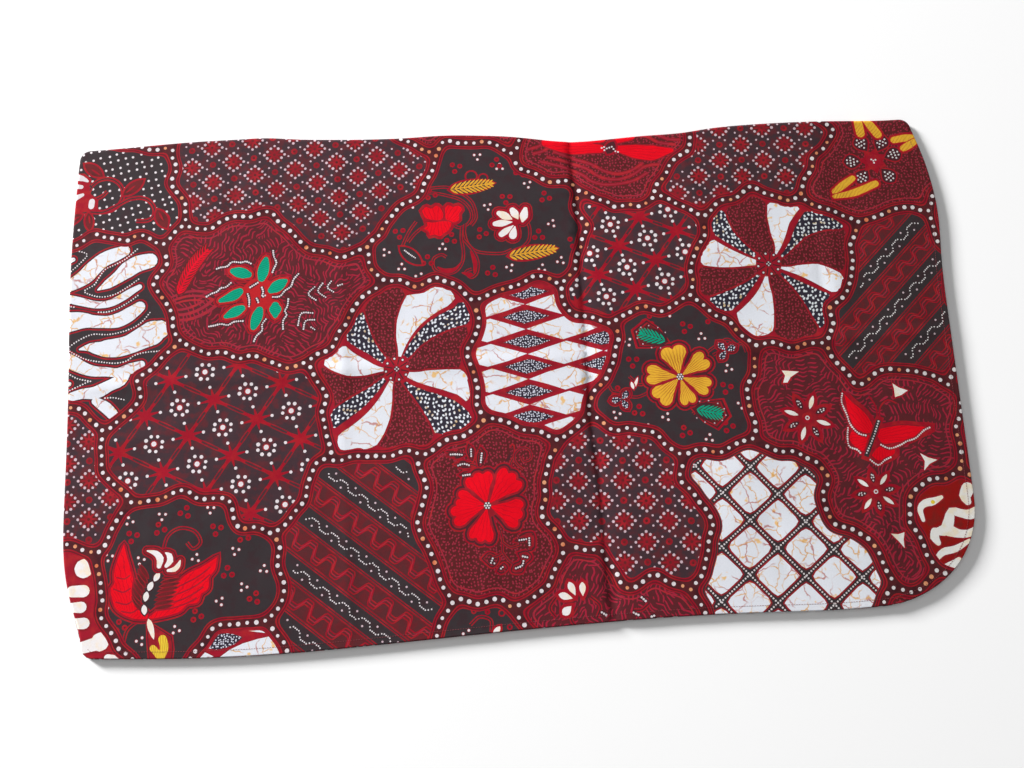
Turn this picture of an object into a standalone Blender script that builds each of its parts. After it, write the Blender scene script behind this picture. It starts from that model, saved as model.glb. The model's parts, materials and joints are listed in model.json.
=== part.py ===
"""A batik sarong: one open cloth with rounded corners, folded into quarters and laid flat.

The cloth is 2.00 m by 1.15 m. It is folded once across its width and once across its height, so it
lies as a packet of four plies, 1.00 m by 0.575 m. The folds are the left and the top side. The four
rounded corners of the cloth lie on each other at the lower right, and the hemmed edges run from
there along the bottom and up the right side.

Metres, +Z up, +X along the packet's width, +Y towards its top fold, the floor at z = 0.
"""

import math

import bmesh
import bpy

# The packet, seen from above.
WIDTH = 1.000
HEIGHT = 0.575
HEM_CORNER_RADIUS = 0.115
FOLD_CORNER_RADIUS = 0.012

# The cloth. Its wall is drawn thicker than the real cotton, which is 0.3 mm.
WALL = 0.0010
GAP = 0.0003
STACK = 0.0062
RIM = 0.0080

# The grid that the panel is worked out on.
CELL_X = 0.046
CELL_Y = 0.048
CORNER_STEPS = 6

# The packet's sides bow in and out. Each row moves one side outwards by `out` around `at`, which is
# measured along the side from the packet's middle.
SIDE_BOWS = [
    # side, at, reach, out
    ("top", -0.330, 0.130, 0.0085),
    ("top", 0.085, 0.060, -0.0085),
    ("top", 0.165, 0.095, -0.0090),
    ("top", 0.470, 0.060, -0.0030),
    ("bottom", -0.340, 0.210, 0.0110),
    ("bottom", 0.210, 0.250, -0.0120),
    ("bottom", 0.440, 0.080, -0.0090),
    ("left", 0.150, 0.140, 0.0070),
    ("left", -0.290, 0.070, -0.0280),
    ("right", 0.165, 0.050, 0.0045),
    ("right", 0.290, 0.050, -0.0150),
    ("right", -0.240, 0.050, -0.0015),
]

# Creases left by earlier folding, from the bottom (or the left) side to the other. A positive rise
# is a ridge and a negative one a trough.
UPRIGHT_CREASES = [
    # x at the bottom, x at the top, half width, rise
    (-0.186, -0.197, 0.010, 0.0010),
    (0.097, 0.080, 0.007, -0.0016),
    (0.399, 0.364, 0.014, 0.0019),
]
LEVEL_CREASES = [
    # y at the left, y at the right, half width, rise
    (0.000, 0.022, 0.010, 0.0010),
]

# Between its creases the cloth stands a little off the plies below.
SWELLS = [
    # x, y, reach along x, reach along y, rise
    (-0.350, 0.150, 0.110, 0.090, 0.0026),
    (-0.060, 0.160, 0.100, 0.085, 0.0021),
    (0.235, 0.150, 0.100, 0.090, 0.0030),
    (-0.340, -0.140, 0.110, 0.090, 0.0019),
    (-0.050, -0.145, 0.110, 0.085, 0.0028),
    (0.250, -0.130, 0.100, 0.085, 0.0022),
    (0.445, 0.050, 0.040, 0.120, 0.0012),
]
EDGE_FADE = 0.055

# Profiles across the packet's rim. `out` runs from the rim's inner line, at 0, to the side, at 1,
# and the height is `share` of the packet's height there, and `plus` wall thicknesses more.
PANEL_OUTER = [
    # name, fold on the left, fold at the top, hemmed edge: each (out, share, plus)
    ("flat", (0.40, 1.0, -0.05), (0.35, 1.0, -0.08), (0.45, 1.0, 0.0)),
    ("shoulder", (0.70, 1.0, -0.45), (0.68, 0.93, 0.0), (0.86, 1.0, -0.06)),
    ("turn", (0.91, 1.0, -1.25), (0.93, 0.75, 0.0), (0.97, 1.0, -0.28)),
    ("side", (1.00, 0.66, 0.0), (1.00, 0.50, 0.0), (1.00, 1.0, -0.55)),
    ("foot", (0.96, 0.53, 0.0), (0.95, 0.22, 0.0), (0.98, 1.0, -0.80)),
    ("end", (0.92, 0.50, 0.0), (0.86, 0.08, 0.0), (0.95, 1.0, -0.95)),
]
PANEL_INNER = [
    ("end", (0.80, 0.52, 0.0), (0.75, 0.15, 0.0), (0.90, 1.0, -1.0)),
    ("side", (0.86, 0.66, 0.0), (0.87, 0.50, 0.0), (0.88, 1.0, -1.0)),
    ("turn", (0.79, 1.0, -1.75), (0.81, 0.69, 0.0), (0.86, 1.0, -1.0)),
    ("shoulder", (0.60, 1.0, -1.25), (0.60, 0.78, 0.0), (0.80, 1.0, -1.0)),
    ("flat", (0.34, 1.0, -1.02), (0.30, 0.84, -0.05), (0.45, 1.0, -1.0)),
]
UNDER_SIDE = [
    # name, left, top, hemmed edge
    ("flat", (0.30, 1.0, -1.34), (0.24, 0.78, 0.0), (0.06, 1.0, -1.30)),
    ("rebate", (0.52, 1.0, -1.62), (0.50, 0.69, 0.0), (0.10, 1.0, -2.62)),
    ("shelf", (0.70, 1.0, -2.15), (0.68, 0.59, 0.0), (0.80, 1.0, -2.64)),
    ("ply_2_top", (0.76, 0.62, 0.0), (0.73, 0.52, 0.0), (0.90, 1.0, -2.78)),
    ("ply_2", (0.71, 0.50, 0.0), (0.73, 0.46, 0.0), (0.94, 0.48, 0.0)),
    ("ply_3_top", (0.74, 0.46, 0.0), (0.72, 0.40, 0.0), (0.83, 0.36, 0.0)),
    ("ply_3", (0.90, 0.38, 0.0), (0.70, 0.32, 0.0), (0.99, 0.28, 0.0)),
    ("ply_4_top", (0.99, 0.25, 0.0), (0.66, 0.22, 0.0), (0.86, 0.185, 0.0)),
    ("ply_4", (0.97, 0.10, 0.0), (0.60, 0.12, 0.0), (0.97, 0.09, 0.0)),
    ("floor", (0.88, 0.0, 0.0), (0.52, 0.0, 0.0), (0.90, 0.0, 0.0)),
]
# The turned hem lies between the panel's edge and the second ply.
HEM_SECTION = [
    # out, share, plus
    (0.94, 1.0, -1.38),
    (0.98, 1.0, -1.80),
    (0.94, 1.0, -2.22),
    (0.16, 1.0, -2.25),
    (0.13, 1.0, -1.80),
    (0.16, 1.0, -1.34),
]
# One kind of side turns into the next over this length. The under plies turn into the top fold
# before the panel does, so that it wraps round them.
FOLD_BLEND = 0.020
UNDER_LEAD = 0.020


def smooth(x):
    """0 to 1, level at both ends."""
    x = min(max(x, 0.0), 1.0)
    return x * x * (3 - 2 * x)


def hump(distance, reach):
    """1 in the middle, falling smoothly away over `reach`."""
    return math.exp(-((distance / reach) ** 2))


def spaced(low, high, step, kept):
    """Grid lines from low to high about `step` apart, which pass through every line in `kept`."""
    lines = sorted({low, high, *(k for k in kept if low < k < high)})
    filled = []
    for a, b in zip(lines, lines[1:]):
        parts = max(1, round((b - a) / step))
        filled += [a + (b - a) * i / parts for i in range(parts)]
    return [*filled, high]


def crease_lines(creases):
    """The grid lines on a crease and at its two feet, at the packet's middle."""
    lines = []
    for start, end, half_width, _ in creases:
        middle = (start + end) / 2
        lines += [middle - half_width, middle, middle + half_width]
    return lines


def slant_at(place, creases, half):
    """How far a grid line leans from one side to the other, between the creases on either side."""
    known = [(-half, 0.0), *(((a + b) / 2, b - a) for a, b, _, _ in creases), (half, 0.0)]
    for (p, lean_p), (q, lean_q) in zip(known, known[1:]):
        if place <= q:
            return lean_p + (lean_q - lean_p) * (place - p) / (q - p)
    return 0.0


def bow(side, at):
    """How far a side stands out at a place along it."""
    return sum(out * hump(at - centre, reach) for s, centre, reach, out in SIDE_BOWS if s == side)


def bowed(x, y):
    """A point of the straight packet, moved with the bows of its sides."""
    across, up = x / WIDTH + 0.5, y / HEIGHT + 0.5
    x_moved = x + across * bow("right", y) - (1 - across) * bow("left", y)
    y_moved = y + up * bow("top", x) - (1 - up) * bow("bottom", x)
    return x_moved, y_moved


def corner_drop(x, half, radius):
    """How far a rounded corner takes the side in, at x, within `radius` of the packet's end."""
    inside = max(0.0, x - (half - radius))
    return radius - math.sqrt(max(0.0, radius * radius - inside * inside))


def straight_grid():
    """Columns of plan points over the straight packet, up to the rim's inner line."""
    half_x, half_y = WIDTH / 2 - RIM, HEIGHT / 2 - RIM
    hem_radius, fold_radius = HEM_CORNER_RADIUS - RIM, FOLD_CORNER_RADIUS - RIM
    arc = [half_x - hem_radius + hem_radius * math.sin(math.pi / 2 * i / CORNER_STEPS) for i in range(CORNER_STEPS)]
    columns = spaced(
        -half_x + fold_radius, arc[0], CELL_X, [x for x in crease_lines(UPRIGHT_CREASES) if x < arc[0]]
    )
    columns = [-half_x, *columns, *arc[1:-2], half_x - fold_radius, half_x]
    blends = [half_y - FOLD_BLEND, half_y - UNDER_LEAD - FOLD_BLEND, FOLD_BLEND - half_y]
    rows = spaced(-half_y, half_y, CELL_Y, [*crease_lines(LEVEL_CREASES), *blends])
    grid = []
    for x in columns:
        low = -half_y + (corner_drop(x, half_x, hem_radius) if x > 0 else corner_drop(-x, half_x, fold_radius))
        high = half_y - corner_drop(abs(x), half_x, fold_radius)
        column = []
        for y in rows:
            share = (y + half_y) / (2 * half_y)
            leaning_x = x + slant_at(x, UPRIGHT_CREASES, half_x) * (share - 0.5)
            leaning_y = slant_at(y, LEVEL_CREASES, half_y) * (x / (2 * half_x))
            column.append((leaning_x, low + (high - low) * share + leaning_y))
        grid.append(column)
    return grid


def outline_of(grid):
    """The grid's border points, anticlockwise from the lower left."""
    bottom = [(i, 0) for i in range(len(grid) - 1)]
    right = [(len(grid) - 1, j) for j in range(len(grid[0]) - 1)]
    top = [(i, len(grid[0]) - 1) for i in range(len(grid) - 1, 0, -1)]
    left = [(0, j) for j in range(len(grid[0]) - 1, 0, -1)]
    return bottom + right + top + left


def outward(ring):
    """The unit normal of a closed ring at each of its points, pointing out."""
    normals = []
    for i, (x, y) in enumerate(ring):
        (ax, ay), (bx, by) = ring[i - 1], ring[(i + 1) % len(ring)]
        before, after = math.hypot(x - ax, y - ay), math.hypot(bx - x, by - y)
        nx = (y - ay) / before + (by - y) / after
        ny = -(x - ax) / before - (bx - x) / after
        size = math.hypot(nx, ny)
        normals.append((nx / size, ny / size))
    return normals


def crease_rise(x, y):
    """The height that the old creases add."""
    rise = 0.0
    for bottom, top, half_width, height in UPRIGHT_CREASES:
        line = bottom + (top - bottom) * (y / HEIGHT + 0.5)
        rise += height * max(0.0, 1 - abs(x - line) / half_width / 1.6)
    for left, right, half_width, height in LEVEL_CREASES:
        line = left + (right - left) * (x / WIDTH + 0.5)
        rise += height * max(0.0, 1 - abs(y - line) / half_width / 1.6)
    return rise


def top_height(x, y):
    """The height of the packet's upper face."""
    swell = sum(rise * hump(x - sx, rx) * hump(y - sy, ry) for sx, sy, rx, ry, rise in SWELLS)
    to_side = min(x + WIDTH / 2, WIDTH / 2 - x, y + HEIGHT / 2, HEIGHT / 2 - y)
    return STACK + (swell + crease_rise(x, y)) * smooth(to_side / EDGE_FADE)


class Rim:
    """The packet's rim: where each border point lies, and how much of each kind of side it is."""

    def __init__(self, straight, lead=0.0):
        border = [straight[i][j] for i, j in outline_of(straight)]
        self.ring = [bowed(x, y) for x, y in border]
        self.normals = outward(self.ring)
        self.kinds = [self.kind(x, y, lead) for x, y in border]

    @staticmethod
    def kind(x, y, lead):
        """Shares of left fold, top fold and hemmed edge, which blend round the corners."""
        top = smooth((y + lead - (HEIGHT / 2 - RIM)) / FOLD_BLEND + 1)
        left = smooth((-WIDTH / 2 + RIM - x) / FOLD_BLEND + 1) * (1 - top)
        hemmed_bottom = smooth((-y - (HEIGHT / 2 - RIM)) / FOLD_BLEND + 1)
        left *= 1 - hemmed_bottom
        return left, top, 1 - left - top

    def point(self, index, by_kind):
        """The point of one rim profile row at one border point."""
        (x, y), (nx, ny) = self.ring[index], self.normals[index]
        out, share, plus = (
            sum(kind * row[value] for kind, row in zip(self.kinds[index], by_kind)) for value in range(3)
        )
        reach = out * RIM
        return x + nx * reach, y + ny * reach, share * top_height(x, y) + plus * WALL

    def rings(self, profile):
        return [[self.point(i, row[1:]) for i in range(len(self.ring))] for row in profile]


def skin(bm, rings):
    """Quads between each closed ring of vertices and the next."""
    for first, second in zip(rings, rings[1:]):
        for i in range(len(first)):
            j = (i + 1) % len(first)
            bm.faces.new((first[i], first[j], second[j], second[i]))


def sheet(bm, grid, drop, facing_up):
    """A wall's face over the grid, `drop` below the upper face. Returns its border."""
    verts = [[bm.verts.new((x, y, top_height(x, y) - drop)) for x, y in column] for column in grid]
    for a, b in zip(verts, verts[1:]):
        for j in range(len(a) - 1):
            # Both ways round start at the same corner, so both faces fold along the same diagonal.
            turned = (a[j], a[j + 1], b[j + 1], b[j])
            bm.faces.new((a[j], b[j], b[j + 1], a[j + 1]) if facing_up else turned)
    return [verts[i][j] for i, j in outline_of(grid)]


def add_rings(bm, rings):
    return [[bm.verts.new(point) for point in ring] for ring in rings]


def material(name, colour, roughness):
    made = bpy.data.materials.new(name)
    made.use_nodes = True
    shader = made.node_tree.nodes["Principled BSDF"]
    shader.inputs["Base Color"].default_value = (*colour, 1.0)
    shader.inputs["Roughness"].default_value = roughness
    shader.inputs["Metallic"].default_value = 0.0
    return made


def node(name, bm, finish):
    """A named object made of the solid in `bm`."""
    mesh = bpy.data.meshes.new(name)
    bm.to_mesh(mesh)
    bm.free()
    mesh.materials.append(finish)
    mesh.shade_smooth()
    mesh.set_sharp_from_angle(angle=math.radians(50))
    made = bpy.data.objects.new(name, mesh)
    bpy.context.scene.collection.objects.link(made)
    return made


def make_top_panel(grid, rim, finish):
    """The quarter that shows. It rolls over the left fold to the second ply, and over the top fold
    down to the floor, where the fourth ply begins."""
    bm = bmesh.new()
    upper_border = sheet(bm, grid, 0.0, True)
    lower_border = sheet(bm, grid, WALL, False)
    rings = add_rings(bm, rim.rings(PANEL_OUTER) + rim.rings(PANEL_INNER))
    skin(bm, [lower_border, *rings[::-1], upper_border])
    return node("top_panel", bm, finish)


def make_under_plies(grid, rim, finish):
    """The three plies that the top one hides, as one solid, with a groove round its side between
    each ply and the next."""
    bm = bmesh.new()
    border = sheet(bm, grid, WALL + GAP, True)
    rings = add_rings(bm, rim.rings(UNDER_SIDE))
    skin(bm, [*rings[::-1], border])
    bm.faces.new(rings[-1][::-1])
    return node("under_plies", bm, finish)


def make_turned_hem(rim, finish):
    """The narrow hem turned under the panel's cut edge, from the left fold to the top fold."""
    hemmed = [i for i, (_, _, hem) in enumerate(rim.kinds) if hem > 0.99]
    bm = bmesh.new()
    sections = [[bm.verts.new(rim.point(i, [row] * 3)) for row in HEM_SECTION] for i in hemmed]
    skin(bm, sections)
    bm.faces.new(sections[0])
    bm.faces.new(sections[-1][::-1])
    bmesh.ops.recalc_face_normals(bm, faces=bm.faces)
    return node("turned_hem", bm, finish)


def centred(objects):
    """Moves the packet so that its box is centred over the origin."""
    xs = [v.co.x for o in objects for v in o.data.vertices]
    ys = [v.co.y for o in objects for v in o.data.vertices]
    for made in objects:
        for vertex in made.data.vertices:
            vertex.co.x -= (min(xs) + max(xs)) / 2
            vertex.co.y -= (min(ys) + max(ys)) / 2


def main():
    for old in list(bpy.data.objects):
        bpy.data.objects.remove(old)
    printed = material("batik_cotton", (0.21, 0.035, 0.045), 0.82)
    turned = material("hem_cotton", (0.16, 0.03, 0.035), 0.86)
    straight = straight_grid()
    grid = [[bowed(x, y) for x, y in column] for column in straight]
    rim = Rim(straight)
    centred(
        [
            make_top_panel(grid, rim, printed),
            make_under_plies(grid, Rim(straight, UNDER_LEAD), printed),
            make_turned_hem(Rim(straight, UNDER_LEAD), turned),
        ]
    )


main()
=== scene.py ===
"""A batik sarong, one printed cotton cloth with a turned hem, folded into quarters and laid flat."""

import json
import math

import bpy
import numpy as np
from mathutils import Matrix
from mathutils.bvhtree import BVHTree
from mathutils.geometry import delaunay_2d_cdt
from mathutils.kdtree import KDTree

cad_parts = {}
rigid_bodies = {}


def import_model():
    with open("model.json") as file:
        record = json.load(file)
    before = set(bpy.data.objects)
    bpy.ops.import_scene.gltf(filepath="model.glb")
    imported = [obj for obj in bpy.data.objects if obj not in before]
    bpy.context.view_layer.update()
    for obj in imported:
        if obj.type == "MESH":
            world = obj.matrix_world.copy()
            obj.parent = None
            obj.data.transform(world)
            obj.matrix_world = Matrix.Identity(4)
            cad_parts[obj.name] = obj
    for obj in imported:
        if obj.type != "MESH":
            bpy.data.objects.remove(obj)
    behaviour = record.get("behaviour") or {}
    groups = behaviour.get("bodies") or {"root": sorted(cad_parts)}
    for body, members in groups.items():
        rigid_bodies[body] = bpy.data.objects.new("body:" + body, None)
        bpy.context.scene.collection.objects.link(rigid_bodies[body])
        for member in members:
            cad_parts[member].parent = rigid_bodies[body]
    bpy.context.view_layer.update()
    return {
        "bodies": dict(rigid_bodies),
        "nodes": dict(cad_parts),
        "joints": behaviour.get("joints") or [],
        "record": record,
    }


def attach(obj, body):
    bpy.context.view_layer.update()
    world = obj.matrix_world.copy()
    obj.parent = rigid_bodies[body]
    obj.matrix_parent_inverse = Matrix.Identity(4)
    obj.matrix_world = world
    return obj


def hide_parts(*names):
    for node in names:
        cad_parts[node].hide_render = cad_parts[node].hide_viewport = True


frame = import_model()

# The folded packet. It is one open cloth of thin cotton, folded in half across its width and then
# across its height, so two sides are folds and two are hemmed edges. It isn't pressed: it keeps the
# creases of an earlier folding and swells a little between them.
WIDTH = 1.000
HEIGHT = 0.575
HEM_CORNER_RADIUS = 0.115
FOLD_CORNER_RADIUS = 0.012
RIM = 0.0080
STACK = 0.0062
CLOTH = 0.00055
FOLD_BLEND = 0.020

SIDE_BOWS = [
    # side, at, reach, out
    ("top", 0.000, 2.000, 0.0022),
    ("top", -0.330, 0.130, 0.0085),
    ("top", -0.276, 0.030, 0.0018),
    ("top", -0.061, 0.040, 0.0020),
    ("top", 0.085, 0.060, -0.0085),
    ("top", 0.165, 0.095, -0.0090),
    ("top", 0.224, 0.030, -0.0020),
    ("top", 0.470, 0.060, -0.0030),
    ("bottom", -0.340, 0.210, 0.0110),
    ("bottom", 0.210, 0.250, -0.0120),
    ("bottom", 0.440, 0.080, -0.0090),
    ("left", 0.150, 0.140, 0.0070),
    ("left", -0.290, 0.070, -0.0280),
    ("right", 0.165, 0.050, 0.0045),
    ("right", 0.290, 0.050, -0.0150),
    ("right", -0.240, 0.050, -0.0015),
]
SWELLS = [
    # x, y, reach along x, reach along y, rise
    (-0.350, 0.150, 0.110, 0.090, 0.0026),
    (-0.060, 0.160, 0.100, 0.085, 0.0021),
    (0.235, 0.150, 0.100, 0.090, 0.0030),
    (-0.340, -0.140, 0.110, 0.090, 0.0019),
    (-0.050, -0.145, 0.110, 0.085, 0.0028),
    (0.250, -0.130, 0.100, 0.085, 0.0022),
    (0.445, 0.050, 0.040, 0.120, 0.0012),
]
CREASES = [
    # from x, y, to x, y, soft width on its left, on its right, rise
    (-0.186, -0.290, -0.197, 0.290, 0.012, 0.009, 0.0010),
    (0.095, -0.290, 0.080, 0.290, 0.0036, 0.011, -0.0023),
    (0.399, -0.290, 0.364, 0.290, 0.020, 0.014, 0.0009),
    (0.384, -0.290, 0.350, 0.290, 0.006, 0.008, -0.0006),
    (-0.500, 0.000, 0.500, 0.022, 0.010, 0.008, 0.0009),
    (-0.500, 0.014, 0.500, 0.036, 0.006, 0.006, -0.0004),
    (-0.187, -0.252, -0.1875, -0.300, 0.002, 0.006, -0.0010),
    (0.100, -0.205, 0.1015, -0.300, 0.0025, 0.005, -0.0011),
    (-0.046, -0.300, -0.030, -0.170, 0.010, 0.012, 0.0007),
    (0.205, 0.292, 0.232, 0.160, 0.009, 0.012, 0.0008),
    (-0.300, 0.300, -0.328, 0.190, 0.010, 0.008, -0.0006),
    (-0.430, -0.285, -0.395, -0.130, 0.010, 0.012, 0.0006),
    (0.300, -0.285, 0.268, -0.150, 0.010, 0.008, -0.0006),
    (-0.490, -0.075, -0.340, -0.040, 0.009, 0.010, 0.0005),
    (0.420, -0.080, 0.500, -0.115, 0.008, 0.010, 0.0006),
]


def smooth(x):
    """0 to 1, level at both ends."""
    x = np.clip(x, 0.0, 1.0)
    return x * x * (3 - 2 * x)


def bow(side, at):
    """How far a side bows out, at some places along it."""
    bows = [row[1:] for row in SIDE_BOWS if row[0] == side]
    return sum(out * np.exp(-(((at - middle) / reach) ** 2)) for middle, reach, out in bows)


def bowed(x, y):
    """Points of the straight packet, moved with the bows of its sides."""
    across, up = x / WIDTH + 0.5, y / HEIGHT + 0.5
    return (
        x + across * bow("right", y) - (1 - across) * bow("left", y),
        y + up * bow("top", x) - (1 - up) * bow("bottom", x),
    )


def rounded_side(step):
    """The straight packet's rim line, anticlockwise from the lower left, about `step` apart."""
    half_x, half_y = WIDTH / 2 - RIM, HEIGHT / 2 - RIM
    folded, hemmed = FOLD_CORNER_RADIUS - RIM, HEM_CORNER_RADIUS - RIM
    corners = [
        # x, y, radius, angle where the corner starts
        (-half_x, -half_y, folded, 180),
        (half_x, -half_y, hemmed, 270),
        (half_x, half_y, folded, 0),
        (-half_x, half_y, folded, 90),
    ]
    points = []
    for x, y, radius, start in corners:
        centre = (x - math.copysign(radius, x), y - math.copysign(radius, y))
        count = max(6, round(radius * math.pi / 2 / step))
        for i in range(count + 1):
            turn = math.radians(start + 90 * i / count)
            points.append((centre[0] + radius * math.cos(turn), centre[1] + radius * math.sin(turn)))
    filled = []
    for (ax, ay), (bx, by) in zip(points, points[1:] + points[:1]):
        parts = max(1, round(math.hypot(bx - ax, by - ay) / step))
        filled += [(ax + (bx - ax) * i / parts, ay + (by - ay) * i / parts) for i in range(parts)]
    return np.array(filled)


def side_kinds(x, y):
    """Shares of left fold, top fold and hemmed edge, which blend round the corners."""
    top = smooth((y - (HEIGHT / 2 - RIM)) / FOLD_BLEND + 1)
    left = smooth((RIM - WIDTH / 2 - x) / FOLD_BLEND + 1) * (1 - top)
    left = left * (1 - smooth((-y - (HEIGHT / 2 - RIM)) / FOLD_BLEND + 1))
    return np.stack([left, top, 1 - left - top], -1)


def outward(ring):
    """The unit normals of a closed ring, pointing out."""
    along = np.roll(ring, -1, 0) - np.roll(ring, 1, 0)
    across = np.stack([along[:, 1], -along[:, 0]], -1)
    return across / np.linalg.norm(across, axis=1, keepdims=True)


straight = rounded_side(0.0042)
ring = np.stack(bowed(straight[:, 0], straight[:, 1]), -1)
ring_out = outward(ring)
ring_kinds = side_kinds(straight[:, 0], straight[:, 1])
packet_edge = ring + ring_out * RIM
centre = (packet_edge.min(0) + packet_edge.max(0)) / 2


def turned_over(flat, reach, drop, last, tail):
    """A rim's section as (length along the cloth, out, down): flat, then round, then back inwards."""
    turn = np.radians(np.linspace(0, last, 40))
    out = np.concatenate([[0.0], flat + reach * np.sin(turn)])
    down = np.concatenate([[0.0], drop * (1 - np.cos(turn))])
    step = np.array([out[-1] - out[-2], down[-1] - down[-2]])
    step *= tail / np.linalg.norm(step)
    out, down = np.append(out, out[-1] + step[0]), np.append(down, down[-1] + step[1])
    length = np.concatenate([[0.0], np.cumsum(np.hypot(np.diff(out), np.diff(down)))])
    return length, out, down


SECTIONS = [
    turned_over(0.0052, 0.0028, 0.00150, 150, 0.006),
    turned_over(0.0040, 0.0040, 0.00285, 145, 0.006),
    turned_over(0.0072, 0.00085, 0.00080, 180, 0.010),
]


def crease_rise(x, y):
    """The height that old creases add. Each is soft by its own width on its left and its right."""
    rise = np.zeros_like(x)
    for ax, ay, bx, by, left, right, height in CREASES:
        length = math.hypot(bx - ax, by - ay)
        along = ((x - ax) * (bx - ax) + (y - ay) * (by - ay)) / length**2
        side = ((x - ax) * (by - ay) - (y - ay) * (bx - ax)) / length
        side = side + 0.0016 * np.sin(along * 9.0 + ax * 40) + 0.0008 * np.sin(along * 23.0 + ay * 70)
        width = np.where(side < 0, left, right)
        ends = smooth((0.5 - abs(along - 0.5)) * length / 0.03 + (1.0 if length > 0.5 else 0.0))
        uneven = 0.82 + 0.18 * np.sin(along * 14.0 + bx * 30)
        rise += height * uneven * ends * np.exp(-((np.abs(side) / width) ** 1.5))
    return rise


def top_height(x, y, creased=1.0):
    """The height of the packet's upper face."""
    swell = sum(
        rise * np.exp(-(((x - sx) / rx) ** 2) - ((y - sy) / ry) ** 2) for sx, sy, rx, ry, rise in SWELLS
    )
    ripple = 0.00025 * np.sin(x * 61 + 3 * np.sin(y * 23)) * np.sin(y * 53 + 2 * np.sin(x * 31))
    to_side = np.minimum(WIDTH / 2 - np.abs(x), HEIGHT / 2 - np.abs(y))
    return STACK + (swell + ripple + creased * crease_rise(x, y)) * smooth(to_side / 0.040 + 0.10)


ring_tree = KDTree(len(ring))
for number, (x, y) in enumerate(ring):
    ring_tree.insert((x, y, 0.0), number)
ring_tree.balance()


def place_on_rim(points):
    """For each point, the rim line's nearest place (index and share of the way on) and how far out it is."""
    nearest = np.array([ring_tree.find((x, y, 0.0))[1] for x, y in points], int).reshape(-1)
    best = None
    for index in (nearest, (nearest - 1) % len(ring)):
        along = ring[(index + 1) % len(ring)] - ring[index]
        away = points - ring[index]
        share = np.clip((away * along).sum(1) / (along**2).sum(1), 0, 1)
        gap = away - share[:, None] * along
        found = np.stack([index, share, np.hypot(gap[:, 0], gap[:, 1]), *gap.T], -1)
        best = found if best is None else np.where((found[:, 2] < best[:, 2])[:, None], found, best)
    index = best[:, 0].astype(int)
    sign = np.sign((best[:, 3:] * ring_out[index]).sum(1))
    return index, best[:, 1], best[:, 2] * sign


def laid(points, sections=SECTIONS, height=top_height):
    """Where points of the flat cloth lie: on the packet's face, or round its rim."""
    x, y = points[:, 0], points[:, 1]
    placed = np.stack([x, y, height(x, y)], -1)
    # only these can be beyond the rim line: the sides, and the round corner of the hem
    near = np.nonzero((np.abs(x) > 0.455) | (np.abs(y) > 0.262) | ((x > 0.38) & (y < -0.17)))[0]
    index, share, out = place_on_rim(points[near])
    beyond = out > 0
    near, index, share, out = near[beyond], index[beyond], share[beyond][:, None], out[beyond]
    following = (index + 1) % len(ring)

    def between(values):
        return values[index] * (1 - share) + values[following] * share

    foot, kinds = between(ring), between(ring_kinds)
    normal = points[near] - foot
    normal /= np.maximum(np.linalg.norm(normal, axis=1, keepdims=True), 1e-9)
    reach = sum(kinds[:, k] * np.interp(out, s[0], s[1]) for k, s in enumerate(sections))
    drop = sum(kinds[:, k] * np.interp(out, s[0], s[2]) for k, s in enumerate(sections))
    placed[near, :2] = foot + normal * reach[:, None]
    placed[near, 2] = height(foot[:, 0], foot[:, 1]) - drop
    return placed


def facing(points, **how):
    """The cloth's unit normals at points of the flat cloth."""
    step = 0.00008
    east = laid(points + (step, 0), **how) - laid(points - (step, 0), **how)
    north = laid(points + (0, step), **how) - laid(points - (0, step), **how)
    normal = np.cross(east, north)
    return normal / np.linalg.norm(normal, axis=1, keepdims=True)


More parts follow.
